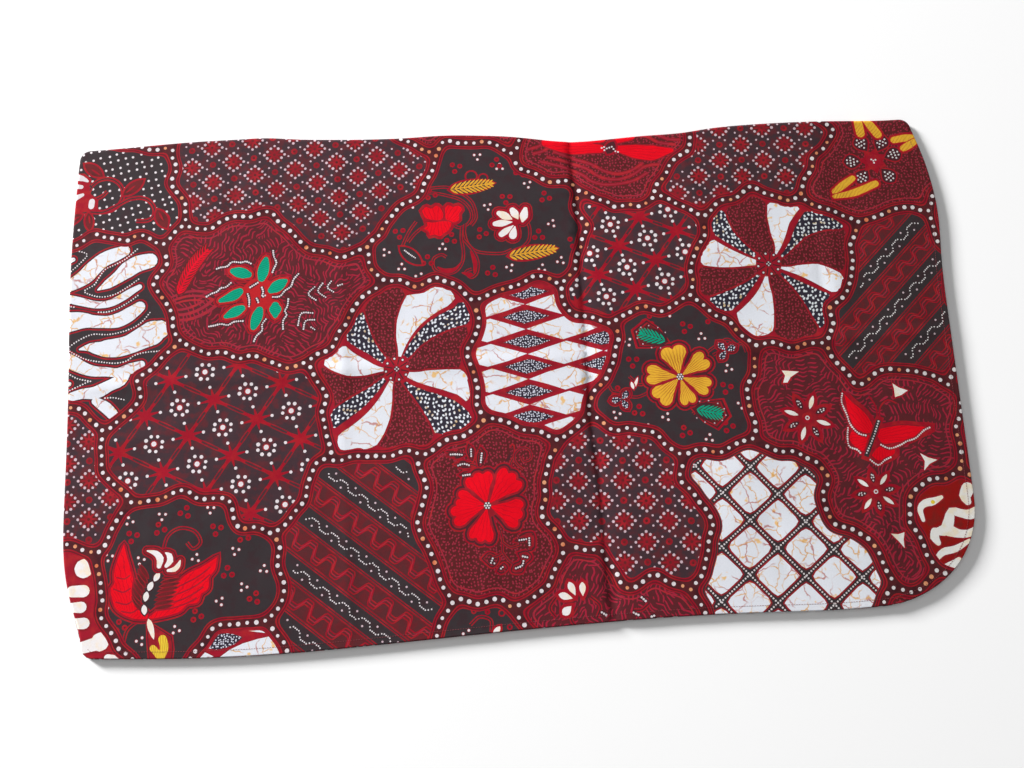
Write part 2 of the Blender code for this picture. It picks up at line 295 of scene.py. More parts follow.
# The patchwork of the print. Dark channels with a row of wax dots part it into islands, and a crimson
# line runs along each side of a channel. Each island holds one motif. Sizes here are in millimetres.
LOBES = {
    # each island's lobes: x, y, reach
    "spots": [(-455, 238, 60), (-408, 212, 36), (-418, 262, 28), (-500, 220, 45)],
    "truntum_left": [(-345, 250, 48), (-355, 215, 26), (-285, 252, 50), (-205, 215, 66), (-150, 235, 52),
        (-118, 252, 32), (-240, 300, 50), (-170, 300, 36), (-340, 310, 44)],
    "top_strip": [(-95, 306, 30), (-40, 322, 38), (2, 300, 28)],
    "garden": [(-38, 228, 50), (-95, 172, 47), (-20, 160, 62), (42, 175, 55), (-122, 146, 32),
        (68, 145, 28), (20, 215, 28)],
    "red_edge": [(60, 268, 40), (130, 245, 52), (178, 262, 44), (140, 215, 30)],
    "truntum_top": [(218, 222, 38), (262, 248, 46), (325, 240, 46), (372, 266, 24), (300, 290, 50)],
    "yellow_wreath": [(425, 225, 62), (470, 250, 55), (375, 205, 30), (420, 290, 36), (460, 205, 34)],
    "stars_middle": [(135, 130, 58), (185, 150, 46), (100, 188, 24), (170, 100, 34), (98, 88, 28),
        (135, 160, 36)],
    "wheel_right": [(302, 113, 82), (262, 120, 52), (355, 140, 46), (318, 62, 45), (300, 160, 44),
        (368, 100, 34)],
    "bands_right": [(450, 90, 62), (420, 40, 50), (455, 130, 46), (395, 0, 28), (470, 25, 48)],
    "zebra": [(-470, 125, 58), (-430, 68, 55), (-470, 40, 55), (-425, 150, 26), (-455, -5, 34)],
    "green_leaves": [(-330, 110, 74), (-235, 92, 62), (-285, 140, 58), (-362, 155, 30), (-185, 112, 32),
        (-255, 60, 36)],
    "wheel_left": [(-130, 8, 86), (-85, 55, 42), (-95, -25, 52), (-170, -45, 44), (-145, 62, 46)],
    "lozenges": [(18, 50, 50), (20, -5, 58), (72, 15, 44), (30, -30, 40), (-5, 20, 44)],
    "yellow_flower": [(190, -5, 72), (165, 25, 38), (215, -55, 50), (140, -30, 42), (225, 0, 42)],
    "stars_left": [(-345, -45, 78), (-405, -72, 52), (-275, -50, 66), (-275, -125, 34), (-375, 0, 46)],
    "truntum_edge": [(-495, -90, 36), (-478, -130, 38), (-495, -50, 24)],
    "bird": [(-375, -195, 70), (-300, -218, 48), (-395, -255, 56), (-360, -240, 50)],
    "white_blobs": [(-494, -212, 27), (-488, -246, 27), (-466, -282, 36), (-438, -306, 26)],
    "white_sliver": [(-312, -302, 42), (-290, -300, 34)],
    "bands_left": [(-165, -155, 62), (-205, -205, 62), (-150, -235, 66), (-130, -138, 40),
        (-215, -260, 50), (-195, -130, 30)],
    "red_flower": [(-38, -150, 78), (-10, -115, 52), (-5, -195, 52), (-45, -205, 46)],
    "dark_patch": [(-48, -285, 34), (-15, -302, 28)],
    "cream_petals": [(70, -222, 26), (30, -268, 24), (80, -275, 28), (150, -265, 28), (115, -285, 30),
        (60, -240, 26)],
    "truntum_low": [(128, -128, 52), (90, -112, 38), (162, -185, 48), (70, -148, 54), (130, -195, 38),
        (177, -184, 57)],
    "lattice": [(265, -185, 82), (346, -240, 56), (300, -150, 42), (222, -140, 46), (262, -142, 46),
        (230, -225, 42), (270, -250, 60)],
    "butterfly": [(325, -50, 60), (430, -82, 62), (390, -130, 50), (412, -220, 34), (372, -162, 42),
        (395, -175, 32), (310, -20, 36)],
    "meander": [(478, -205, 40), (500, -175, 36), (458, -184, 34)],
    "beyond_right": [(540, 70, 40), (530, 150, 34), (545, -5, 45)],
    "beyond_low_right": [(532, -95, 38), (530, -130, 32)],
    "beyond_top": [(-428, 338, 49)],
    "beyond_bottom": [(410, -300, 38), (360, -320, 30), (460, -275, 26)],
    "beyond_left": [(-545, 100, 20)],
}
CELL = 2.0
LEFT, LOW = -556.0, -350.0
columns, rows = np.meshgrid(LEFT + CELL * np.arange(557), LOW + CELL * np.arange(351))
islands = list(LOBES)


def island_nearness(x, y):
    """How far each island's nearest lobe is from a point. The lobes' edges wander by a few millimetres."""
    wx = x + 2.6 * np.sin(y / 9.0 + 1.3 * np.sin(x / 17.0)) + 1.2 * np.sin(y / 4.9 + x / 13.0)
    wy = y + 2.6 * np.sin(x / 8.3 + 1.1 * np.sin(y / 15.0)) + 1.2 * np.sin(x / 5.3 - y / 11.0)
    nearness = np.full((len(islands), *x.shape), np.inf)
    for layer, lobes in zip(nearness, LOBES.values()):
        for lobe_x, lobe_y, reach in lobes:
            np.minimum(layer, np.hypot(wx - lobe_x, wy - lobe_y) - reach, out=layer)
    return nearness


def parting_points(nearness, owner):
    """Points on the lines that part the islands."""
    found = []
    for step_y, step_x in ((0, 1), (1, 0)):
        first = (slice(0, owner.shape[0] - step_y), slice(0, owner.shape[1] - step_x))
        second = (slice(step_y, None), slice(step_x, None))
        j, i = np.nonzero(owner[first] != owner[second])
        mine, other = owner[j, i], owner[j + step_y, i + step_x]
        here = nearness[other, j, i] - nearness[mine, j, i]
        there = nearness[mine, j + step_y, i + step_x] - nearness[other, j + step_y, i + step_x]
        way = here / np.maximum(here + there, 1e-9)
        found.append(np.stack([LEFT + CELL * (i + step_x * way), LOW + CELL * (j + step_y * way)], -1))
    return np.concatenate(found)


def softened(field, cells):
    """A field blurred over that many cells."""
    reach = int(3 * cells) + 1
    weights = np.exp(-0.5 * (np.arange(-reach, reach + 1) / cells) ** 2)
    weights /= weights.sum()
    for _ in range(2):
        padded = np.pad(field, ((reach, reach), (0, 0)), mode="edge")
        field = sum(w * padded[i : i + field.shape[0]] for i, w in enumerate(weights)).T
    return field


nearness = island_nearness(columns, rows)
owner = nearness.argmin(0)
partings = parting_points(nearness, owner)
parting_tree = KDTree(len(partings))
for number, (x, y) in enumerate(partings):
    parting_tree.insert((x, y, 0.0), number)
parting_tree.balance()
to_parting = np.array([parting_tree.find((x, y, 0.0))[2] for x, y in zip(columns.ravel(), rows.ravel())])
to_parting = to_parting.reshape(columns.shape)


def depth_field(name, cells):
    """How deep every cell is inside an island, blurred over some cells. It is below 0 outside."""
    return softened(np.where(owner == islands.index(name), to_parting, -to_parting), cells)


inside = {name: depth_field(name, 2.4) for name in islands}

TURNS = {
    # which corners of a cell lie inside: the line's way through it, from side to side
    1: "BL", 2: "RB", 3: "RL", 4: "TR", 5: "BLTR", 6: "TB", 7: "TL",
    8: "LT", 9: "BT", 10: "RBLT", 11: "RT", 12: "LR", 13: "BR", 14: "LB",
}


def level_lines(field, level, spacing):
    """Closed lines at one level of a field, anticlockwise round what is inside, with even points."""
    field = field.copy()
    field[0], field[-1], field[:, 0], field[:, -1] = -99, -99, -99, -99
    above = field > level
    code = above[:-1, :-1] + 2 * above[:-1, 1:] + 4 * above[1:, 1:] + 8 * above[1:, :-1]
    wide = field.shape[1]
    upright = field.size
    side = {"B": 0, "T": wide, "L": upright, "R": upright + 1}
    following = {}
    for case, way in TURNS.items():
        j, i = np.nonzero(code == case)
        cell = j * wide + i
        for a, b in zip(way[::2], way[1::2]):
            following.update(zip((cell + side[a]).tolist(), (cell + side[b]).tolist()))
    loops = []
    flat = field.ravel()
    while following:
        start, place = following.popitem()
        loop = [start]
        while place != start:
            loop.append(place)
            place = following.pop(place)
        keys = np.array(loop)
        stands = keys >= upright
        base = np.where(stands, keys - upright, keys)
        end = base + np.where(stands, wide, 1)
        way = (level - flat[base]) / (flat[end] - flat[base])
        x = LEFT + CELL * (base % wide + np.where(stands, 0, way))
        y = LOW + CELL * (base // wide + np.where(stands, way, 0))
        loops.append(evenly(np.stack([x, y], -1), spacing))
    return loops


def evenly(loop, spacing):
    """A closed line with its points evenly spaced."""
    closed = np.vstack([loop, loop[:1]])
    length = np.concatenate([[0], np.cumsum(np.hypot(*np.diff(closed, axis=0).T))])
    count = max(6, round(length[-1] / spacing))
    at = np.linspace(0, length[-1], count, endpoint=False)
    return np.stack([np.interp(at, length, closed[:, 0]), np.interp(at, length, closed[:, 1])], -1)


def depth_in(name, x, y):
    """How deep points are inside an island, in millimetres."""
    i, j = (np.asarray(x) - LEFT) / CELL, (np.asarray(y) - LOW) / CELL
    i0, j0 = np.clip(i.astype(int), 0, columns.shape[1] - 2), np.clip(j.astype(int), 0, columns.shape[0] - 2)
    u, v = i - i0, j - j0
    f = inside[name] if name else to_parting
    low = f[j0, i0] * (1 - u) + f[j0, i0 + 1] * u
    high = f[j0 + 1, i0] * (1 - u) + f[j0 + 1, i0 + 1] * u
    return low * (1 - v) + high * v


# The stamps. Every shape of the print is one outline with a dye, kept inside its island's own line.
# They are listed in the order of printing, and a later one covers an earlier one.
stamps = []
PRINT_X, PRINT_Y = 525, 322  # nothing farther out than this is on the cloth
CHANNEL_HALF, RING_LINE = 4.4, 8.0  # where the crimson line round an island starts, and where it ends


def stamp(where, dye, outline, frame=(0.0, 0.0, 0.0, 1.0, 1.0), group=None):
    """Adds one outline, in millimetres. `frame` is its own map: x, y, angle, length and width."""
    outline = np.asarray(outline, float)
    following = np.roll(outline, -1, 0)
    turned = (outline[:, 0] * following[:, 1] - following[:, 0] * outline[:, 1]).sum()
    if turned < 0:
        outline = outline[::-1]
    low, high = outline.min(0), outline.max(0)
    if high[0] < -PRINT_X or low[0] > PRINT_X or high[1] < -PRINT_Y or low[1] > PRINT_Y:
        return
    middle = (low + high) / 2
    if where and depth_in(where.split(" ")[0], *middle) < -np.hypot(*(high - middle)):
        return
    stamps.append((where, dye, outline, frame, group))


def fenced(name, gap, dye=None):
    """Makes a line round an island at a depth, which later stamps can be kept inside. Returns its name."""
    key = f"{name} {gap}"
    for loop in level_lines(inside[name], gap, 3.2):
        if len(loop) > 6:
            stamp(None, dye, loop, group=key)
    return key


GROUNDS = {
    # the dye of each island's ground
    "spots": "dark", "truntum_left": "dusk", "top_strip": "seeds", "garden": "dark", "red_edge": "seeds",
    "truntum_top": "dusk", "yellow_wreath": "seeds", "stars_middle": "dusk", "wheel_right": "wheel_red",
    "bands_right": "band", "zebra": "dark", "green_leaves": "worms", "wheel_left": "wheel_red",
    "lozenges": "wheel_red", "yellow_flower": "dark", "stars_left": "dusk", "truntum_edge": "dusk",
    "bird": "dark", "white_blobs": "wheel_red", "white_sliver": "crackle", "bands_left": "band",
    "red_flower": "seeds", "dark_patch": "dark", "cream_petals": "worms", "truntum_low": "dusk",
    "lattice": "dark", "butterfly": "worms", "meander": "brick", "beyond_right": "worms",
    "beyond_low_right": "seeds", "beyond_top": "worms", "beyond_bottom": "seeds", "beyond_left": "worms",
}
for name in islands:
    fenced(name, CHANNEL_HALF, "line")
    fenced(name, RING_LINE, GROUNDS[name])
    if GROUNDS[name] in ("worms", "seeds"):
        fenced(name, RING_LINE + 2.8, "worm")
        fenced(name, RING_LINE + 4.2, GROUNDS[name])


def spot(where, dye, x, y, radius, corners=8):
    """A small round dot."""
    turn = np.arange(corners) * 2 * np.pi / corners + x
    stamp(where, dye, np.stack([x + radius * np.cos(turn), y + radius * np.sin(turn)], -1))


# The wax dots down the middle of every channel, a little uneven in size. A few have taken orange dye.
dice = np.random.default_rng(7)
DOT_RADIUS, DOT_PITCH, DOT_SQUARE = 2.28, 8.9, 9  # the squares only make near dots quick to find
placed_dots, dots_by_square = [], {}
for name in islands:
    for line in level_lines(depth_field(name, 1.0), 0, 1.2):
        for x, y in line:
            i, j = int(x // DOT_SQUARE), int(y // DOT_SQUARE)
            squares = [(i + across, j + up) for across in (-1, 0, 1) for up in (-1, 0, 1)]
            around = [dot for square in squares for dot in dots_by_square.get(square, ())]
            if all((x - u) ** 2 + (y - v) ** 2 > DOT_PITCH**2 for u, v in around):
                placed_dots.append((x, y))
                dots_by_square.setdefault((i, j), []).append((x, y))
for x, y in placed_dots:
    radius = DOT_RADIUS * dice.uniform(0.82, 1.14)
    dx, dy = dice.uniform(-0.4, 0.4, 2)
    spot(None, "tinted_wax" if dice.random() < 0.13 else "wax", x + dx, y + dy, radius, 9)


# The little flowers of four islands, sown on a slanting check. Each is a red star among twelve wax dots,
# and between each two stands a small ring with four finer dots.
def outlined(outline, more):
    """A closed outline set out by some millimetres."""
    outline = np.asarray(outline, float)
    following, before = np.roll(outline, -1, 0), np.roll(outline, 1, 0)
    if (outline[:, 0] * following[:, 1] - following[:, 0] * outline[:, 1]).sum() < 0:
        more = -more
    first, second = outline - before, following - outline
    first /= np.maximum(np.linalg.norm(first, axis=1, keepdims=True), 1e-9)
    second /= np.maximum(np.linalg.norm(second, axis=1, keepdims=True), 1e-9)
    normal = np.stack([first[:, 1] + second[:, 1], -first[:, 0] - second[:, 0]], -1)
    size = np.maximum((normal**2).sum(1, keepdims=True) / 2, 0.6)
    return outline + normal * more / size


def layered(where, outlines, *layers, **own):
    """Stamps a group of outlines in one dye after another, each time set out by so many millimetres."""
    for dye, more in layers:
        for outline in outlines:
            stamp(where, dye, outlined(outline, more), **own)


def star_outline(x, y, outer, inner, rays, turn=0.0):
    """A star, with its rays' tips at the outer radius."""
    angle = turn + np.arange(rays * 2) * np.pi / rays
    reach = np.where(np.arange(rays * 2) % 2 == 0, outer, inner)
    return np.stack([x + reach * np.cos(angle), y + reach * np.sin(angle)], -1)


def check_places(where, start, first, second, margin):
    """Places of a slanting check inside an island, as (column, row, x, y)."""
    for i in range(-24, 25):
        for j in range(-24, 25):
            x = start[0] + i * first[0] + j * second[0]
            y = start[1] + i * first[1] + j * second[1]
            if abs(x) < PRINT_X + 5 and abs(y) < PRINT_Y + 8 and depth_in(where, x, y) > margin:
                yield i, j, x, y


LITTLE_FLOWERS = [
    # island, a flower, one column on, one row on
    ("truntum_left", (-197, 262), (24.2, 3.0), (-1.5, 22.0)),
    ("truntum_top", (283, 263), (25.6, -1.0), (1.0, 20.5)),
    ("truntum_low", (92, -150), (24.3, -1.0), (0.8, 22.2)),
    ("truntum_edge", (-475, -60), (24.0, 1.5), (-1.0, 21.6)),
]
for where, start, across, up in LITTLE_FLOWERS:
    for i, j, x, y in check_places(where, start, across, up, 3.0):
        x, y = x + dice.uniform(-0.5, 0.5), y + dice.uniform(-0.5, 0.5)
        if (i + j) % 2 == 0:
            stamp(where, "maroon", star_outline(x, y, 13.2, 8.2, 8))
            stamp(where, "seam_red", star_outline(x, y, 11.0, 3.8, 8))
            spot(where, "maroon", x, y, 1.8, 6)
            for dx, dy in ((12.0, 0), (8.6, 4.2), (4.4, 7.8), (0, 11.2)):
                for a, b in ((dx, dy), (-dy * 1.07, dx * 0.93), (-dx, -dy), (dy * 1.07, -dx * 0.93)):
                    if dx * dy or (a, b) in ((dx, dy), (-dx, -dy)):
                        spot(where, "wax_dim", x + a, y + b, 1.75 * dice.uniform(0.85, 1.1), 6)
        else:
            spot(where, "seam_red", x, y, 4.0, 8)
            spot(where, "maroon", x, y, 1.7, 6)
            for dx, dy in ((7, 5.5), (-7, 5.5), (7, -5.5), (-7, -5.5)):
                spot(where, "wax_dim", x + dx, y + dy, 1.35, 5)


# Two islands of stars. Long rays tie each star to its four neighbours, and in every mesh between them
# stands a ring of wax dots.
def ribbon(where, dye, line, width):
    """A band along a line, as one short piece after another."""
    line = np.asarray(line, float)
    along = np.gradient(line, axis=0)
    along /= np.maximum(np.linalg.norm(along, axis=1, keepdims=True), 1e-9)
    side = np.stack([-along[:, 1], along[:, 0]], -1) * (width / 2)
    left, right = line + side, line - side
    for k in range(len(line) - 1):
        stamp(where, dye, [left[k], right[k], right[k + 1], left[k + 1]])


def curved(points, spacing=3.0):
    """A smooth line through some points."""
    points = np.asarray(points, float)
    padded = np.vstack([2 * points[0] - points[1], points, 2 * points[-1] - points[-2]])
    made = []
    for a, b, c, d in zip(padded, padded[1:], padded[2:], padded[3:]):
        count = max(2, round(np.hypot(*(c - b)) / spacing))
        t = np.arange(count)[:, None] / count
        made.append(
            0.5 * (2 * b + (c - a) * t + (2 * a - 5 * b + 4 * c - d) * t**2 + (3 * b - a - 3 * c + d) * t**3)
        )
    return np.vstack([*made, points[-1:]])


def to_left(way):
    """The unit vector square to a way, on its left."""
    return np.array([-way[1], way[0]]) / np.hypot(*way)


STAR_NETS = [
    # island, a star, the way to one neighbour, the way to the other
    ("stars_left", (-364, -58), (49, -24.5), (27.5, 40)),
    ("stars_middle", (130, 143), (42, -19), (26, 34)),
]
for where, start, first, second in STAR_NETS:
    first, second = np.array(first, float), np.array(second, float)
    for i, j, x, y in check_places(where, start, first, second, -42):
        here = np.array([x, y])
        for way in (first, second):
            for side in (-1.8, 1.8):
                across = to_left(way) * side
                line = [here + way * t + across * math.sin(math.pi * t) for t in np.linspace(0.1, 0.9, 9)]
                ribbon(where, "seam_red", line, 1.2)
        for k, way in enumerate((first, second, -first, -second)):
            tip = here + way / np.hypot(*way) * 17
            side = to_left(way)
            stamp(where, "stem", [here - side * 3.4, tip - side * 1.0, tip + side * 1.0, here + side * 3.4])
            next_way = (first, second, -first, -second)[(k + 1) % 4]
            slant = way / np.hypot(*way) + next_way / np.hypot(*next_way)
            slant /= np.hypot(*slant)
            side = np.array([-slant[1], slant[0]])
            far = here + slant * (12.5 if k % 2 else 17.0)
            stamp(where, "stem", [here - side * 2.4, far - side * 0.6, far + side * 0.6, here + side * 2.4])
        spot(where, "stem", x, y, 3.6, 8)
        centre_x, centre_y = here + (first + second) / 2
        for way in ((first + second) / 2, (first - second) / 2, -(first + second) / 2, (second - first) / 2):
            spot(where, "wax", *(here + way * 0.44), 1.9, 7)
        for k in range(8):
            turn = k * math.pi / 4 + 0.3 + dice.uniform(-0.08, 0.08)
            spot(where, "wax", centre_x + 9.8 * math.cos(turn), centre_y + 8.8 * math.sin(turn),
                 2.3 * dice.uniform(0.85, 1.05), 7)
        spot(where, "seam_red", centre_x, centre_y, 4.3, 8)
        spot(where, "wax", centre_x, centre_y, 3.0, 8)


# The dark corner island: a red vine in double line on rows of fine wax dots. It carries five maroon
# leaves, and four white strokes end at the fold.
def beads(where, line, radius=1.1, pitch=2.9, under=None):
    """A row of wax dots along a line, on a strip of another dye where `under` is given."""
    line = curved(line, 1.0) if len(line) > 2 else np.linspace(line[0], line[1], 30)
    length = np.concatenate([[0], np.cumsum(np.hypot(*np.diff(line, axis=0).T))])
    if under:
        ribbon(where, under, line[:: 3 if len(line) > 6 else 1], radius * 2 + 2.2)
    for at in np.arange(pitch / 2, length[-1], pitch):
        x, y = np.interp(at, length, line[:, 0]), np.interp(at, length, line[:, 1])
        spot(where, "wax", x, y, radius * dice.uniform(0.85, 1.12), 5)


def set_at(outline, x, y, angle):
    """An outline that was drawn along x from 0, turned by some degrees and set at a place."""
    cos, sin = math.cos(math.radians(angle)), math.sin(math.radians(angle))
    run, side = np.asarray(outline).T
    return np.stack([x + run * cos - side * sin, y + run * sin + side * cos], -1)


def leaf_outline(x, y, angle, length, width, belly=0.5, points=9):
    """A leaf or petal from its foot. `belly` is where along it it is widest."""
    share = np.linspace(0, 1, points)
    power = math.log(0.5) / math.log(belly)
    half = width / 2 * np.sin(np.pi * share**power) ** 0.72
    left, right = np.stack([share * length, half], -1), np.stack([share * length, -half], -1)
    return set_at(np.vstack([left, right[::-1][1:-1]]), x, y, angle)


def leaf(where, dye, x, y, angle, length, width, rim=None, rim_width=2.4, **shape):
    """One leaf with its own map for hatching, on a rim of another dye."""
    outline = leaf_outline(x, y, angle, length, width, **shape)
    if rim:
        stamp(where, rim, outlined(outline, rim_width))
    stamp(where, dye, outline, frame=(x, y, math.radians(angle), length, width))


def double_line(where, line, width, core="dark", core_width=1.5):
    """A vine: a crimson line with a dark core."""
    line = curved(line, 2.6)
    ribbon(where, "line", line, width)
    ribbon(where, core, line, core_width)


def stroke(line, widths, spacing=4.0):
    """The outline of a stroke with round ends, whose width changes along it."""
    line = curved(line, spacing) if len(line) > 2 else np.linspace(line[0], line[1], 6)
    along = np.gradient(line, axis=0)
    along /= np.maximum(np.linalg.norm(along, axis=1, keepdims=True), 1e-9)
    share = np.linspace(0, 1, len(line))
    half = np.interp(share, np.linspace(0, 1, len(widths)), widths)[:, None] / 2
    side = np.stack([-along[:, 1], along[:, 0]], -1)
    turn = np.radians(np.arange(90 - 30, -90, -30))[:, None]
    end = line[-1] + half[-1] * (side[-1] * np.sin(turn) + along[-1] * np.cos(turn))
    start = line[0] - half[0] * (side[0] * np.sin(turn) + along[0] * np.cos(turn))
    return np.vstack([line + side * half, end, (line - side * half)[::-1], start])


for i, j, x, y in check_places("spots", (-455, 240), (9.0, 2.2), (-2.6, 8.6), 6.0):
    spot("spots", "wax", x + dice.uniform(-1.3, 1.3), y + dice.uniform(-1.3, 1.3), 1.6, 6)
for line, width in (
    ([(-470 + 21 * math.cos(t), 233 + 21 * math.sin(t)) for t in np.linspace(-2.2, 2.5, 12)], 5.4),
    ([(-487, 244), (-490, 236), (-483, 229), (-474, 232), (-468, 238)], 5.0),
    ([(-503, 211), (-488, 213), (-472, 212), (-456, 219), (-440, 227), (-424, 227), (-413, 218), (-411, 206),
      (-418, 199), (-432, 199)], 5.4),
    ([(-402, 210), (-394, 200), (-397, 188)], 4.6),
):
    double_line("spots", line, width)
stamp("spots", "line", [(-506, 262), (-496, 262), (-487, 254), (-490, 244), (-488, 236), (-478, 228),
                        (-478, 215), (-507, 213)])
for x, y, angle, length, width in (
    (-474, 257, 143, 28, 12), (-489, 212, 277, 22, 9), (-496, 210, 205, 26, 11), (-449, 232, 38, 30, 12),
    (-408, 212, 298, 27, 13),
):
    leaf("spots", "maroon", x, y, angle, length, width, rim="line", rim_width=2.2)
    leaf("spots", "line", *(leaf_outline(x, y, angle, length * 0.25, 1)[4]), angle, length * 0.5, 2.2)
for line, widths in (
    ([(-506, 258), (-497, 255), (-492, 252)], (8, 7, 3)), ([(-506, 246), (-499, 245)], (6, 5)),
    ([(-506, 231), (-497, 235)], (7, 4)), ([(-486, 220), (-485.5, 226)], (7, 7)),
):
    stamp("spots", "wax", stroke(line, widths, 2.5))


# The garden island: curling stems that carry a red flower, a white flower and two ears of yellow
# grain, with threes of dots and rings sown between them.
def three(where, x, y, rings=False, radius=2.1):
    """Three wax dots with a red edge, or three red rings, set as a triangle."""
    turn, apart = dice.uniform(0, 2.1), 5.2 if rings else 4.0
    for k in range(3):
        dx, dy = apart * math.cos(turn + 2.09 * k), apart * math.sin(turn + 2.09 * k)
        spot(where, "stem" if rings else "seam_red", x + dx, y + dy, radius, 8)
        spot(where, "maroon" if rings else "wax", x + dx, y + dy, radius * (0.38 if rings else 0.76), 6)


def sown(where, dots, rings):
    """Threes of dots and threes of rings at some places."""
    for x, y in dots:
        three(where, x, y)
    for x, y in rings:
        three(where, x, y, rings=True, radius=3.2)


def ear(where, dye, foot, tip, width=17.0, rim="line", barbs=10):
    """An ear of grain, or a feather: pairs of slanting barbs along a stem, on a red edge."""
    foot, tip = np.array(foot, float), np.array(tip, float)
    way = tip - foot
    length = np.hypot(*way)
    angle = math.degrees(math.atan2(way[1], way[0]))
    whole = leaf_outline(*foot, angle, length, width * 0.9, belly=0.42, points=13)
    layered(where, [whole], (rim, 2.4), ("dark", 0.0))
    for share in np.linspace(0.02, 0.88, barbs):
        x, y = foot + way * share
        barb = width * 0.72 * math.sin(math.pi * (0.12 + 0.86 * share) ** 0.8) ** 0.6 + 1.5
        for side in (-1, 1):
            leaf(where, dye, x, y, angle + side * 38, barb, length / barbs * 0.46, points=6)
    leaf(where, dye, *(foot + way * 0.80), angle, length * 0.24, 3.4, points=5)
    leaf(where, dye, *foot, angle, length * 0.9, 2.0, points=5)


def broad_petal(x, y, angle, length, width, lobes):
    """A petal that widens straight from its foot to a tip of round lobes."""
    spread = math.atan2(width / 2, length * 0.80)
    share = np.linspace(-1, 1, 6 * lobes + 3)
    lobed = 0.87 + 0.13 * abs(np.sin((share + 1) * lobes * math.pi / 2)) ** 0.55
    reach = length * lobed * (1 - 0.09 * abs(share) ** 5)
    outline = np.stack([reach * np.cos(share * spread), reach * np.sin(share * spread)], -1)
    foot, side = (length * 0.09, length * 0.012), (length * 0.5, width * 0.27)
    outline = np.vstack([(foot[0], -foot[1]), (side[0], -side[1]), outline, side, foot])
    return set_at(outline, x, y, angle)


def flower(where, dye, x, y, petals, gap="seam_red"):
    """A flower of broad petals, given as (angle, length, width, lobes), round a dotted heart."""
    heart = 3.6
    shapes = [broad_petal(x, y, *petal) for petal in petals]
    layered(where, shapes, ("line", 6.2), ("seam_dark", 4.6), (gap, 2.4))
    spot(where, gap, x, y, petals[0][1] * 0.35, 12)
    for (angle, length, width, _), shape in zip(petals, shapes):
        stamp(where, dye, shape, frame=(x, y, math.radians(angle), length, width))
    spot(where, "dark", x, y, heart + 0.6, 9)
    spot(where, "wax", x, y, heart * 0.36, 6)
    for k in range(6):
        dx, dy = heart * 0.80 * math.cos(k * 1.047), heart * 0.80 * math.sin(k * 1.047)
        spot(where, "wax", x + dx, y + dy, heart * 0.31, 5)


def rounded(corners, spacing=2.6):
    """A smooth closed outline through some corners."""
    return evenly(curved([*corners, corners[0]], 2.5)[:-1], spacing)


for line in (
    [(-122, 208), (-104, 217), (-86, 218), (-68, 214), (-52, 208), (-42, 198), (-39, 186), (-44, 177),
     (-54, 173), (-62, 178)],
    [(-122, 202), (-105, 222), (-84, 224), (-66, 224), (-52, 217), (-40, 207), (-35, 196), (-34, 184),
     (-40, 175)],
    [(-47, 177), (-48, 166), (-44, 152), (-34, 143), (-18, 140), (-4, 140), (6, 144)],
    [(-51, 174), (-52, 160), (-50, 144), (-52, 130), (-60, 120), (-72, 118), (-84, 124), (-85, 136),
     (-76, 141), (-70, 138)],
    [(-49, 158), (-40, 146), (-34, 132), (-35, 118), (-42, 112), (-48, 119), (-41, 122)],
    [(-104, 183), (-112, 172), (-118, 160), (-122, 150)], [(-96, 176), (-106, 168), (-114, 158)],
    [(14, 176), (24, 178), (28, 168), (26, 154), (16, 144)],
):
    double_line("garden", line, 3.9)
for line, widths in (([(-52, 132), (-60, 123), (-71, 121), (-80, 126)], (1, 4, 7, 2)),
                     ([(-42, 144), (-37, 130), (-38, 118)], (1, 6, 3)), ([(-52, 118), (-43, 115)], (2, 6))):
    stamp("garden", "stem", stroke(line, widths, 3.0))
for centre_xy, radius in (((-38, 237), 8.0), ((-24, 234), 6.5)):
    spot("garden", "line", *centre_xy, radius, 12)
    spot("garden", "dark", *centre_xy, radius - 2.0, 12)
sown(
    "garden",
    [(-30, 262), (-110, 204), (-74, 150), (-140, 147), (-102, 116), (-58, 104), (28, 224), (54, 174),
     (-20, 198), (3, 122), (62, 128), (-4, 247), (-122, 128), (40, 120)],
    [(-56, 249), (-8, 252), (2, 207), (48, 207), (-86, 216), (-124, 170), (-28, 165), (-18, 118), (38, 160),
     (-92, 134), (-64, 160), (78, 150), (20, 240), (-110, 232)],
)
ear("garden", "yellow", (-64, 221), (-12, 227))
ear("garden", "yellow", (2, 136), (58, 143))
SIDE_FLOWER = [
    # the two petals and the cup of the red flower that is seen from its side
    [(-97, 196), (-92, 201), (-86, 198), (-80, 202), (-75, 198), (-72, 190), (-75, 184), (-84, 184),
     (-93, 187)],
    [(-70, 198), (-66, 202), (-60, 199), (-55, 201), (-50, 196), (-54, 190), (-54, 183), (-61, 180),
     (-69, 184)],
    [(-92, 182), (-91, 177), (-95, 174), (-89, 170), (-89, 165), (-82, 166), (-77, 163), (-72, 167),
     (-67, 170), (-63, 177), (-64, 181), (-74, 182), (-84, 181)],
]
SIDE_FLOWER = [rounded(petal) for petal in SIDE_FLOWER]
layered("garden", SIDE_FLOWER, ("line", 3.6))
for petal in SIDE_FLOWER:
    stamp("garden", "seam_red", outlined(petal, 1.0))
    stamp("garden", "scarlet", petal, frame=(-78, 182, 1.57, 60, 60))
WHITE_PETALS = [
    # line and widths of each petal of the white flower, from its round tip to its foot
    ([(-7, 189), (8, 181)], (6, 10, 8, 1)), ([(-12, 176), (8, 177.5)], (6, 9, 6, 1)),
    ([(-5, 163), (9, 173)], (7, 8, 5, 1)), ([(8, 161), (11, 172)], (9, 8, 5, 1)),
    ([(9, 192), (15, 181)], (7, 10, 7, 1)), ([(24, 193), (20, 178)], (5, 9, 10, 3)),
]
WHITE_PETALS = [stroke(line, widths, 2.5) for line, widths in WHITE_PETALS]
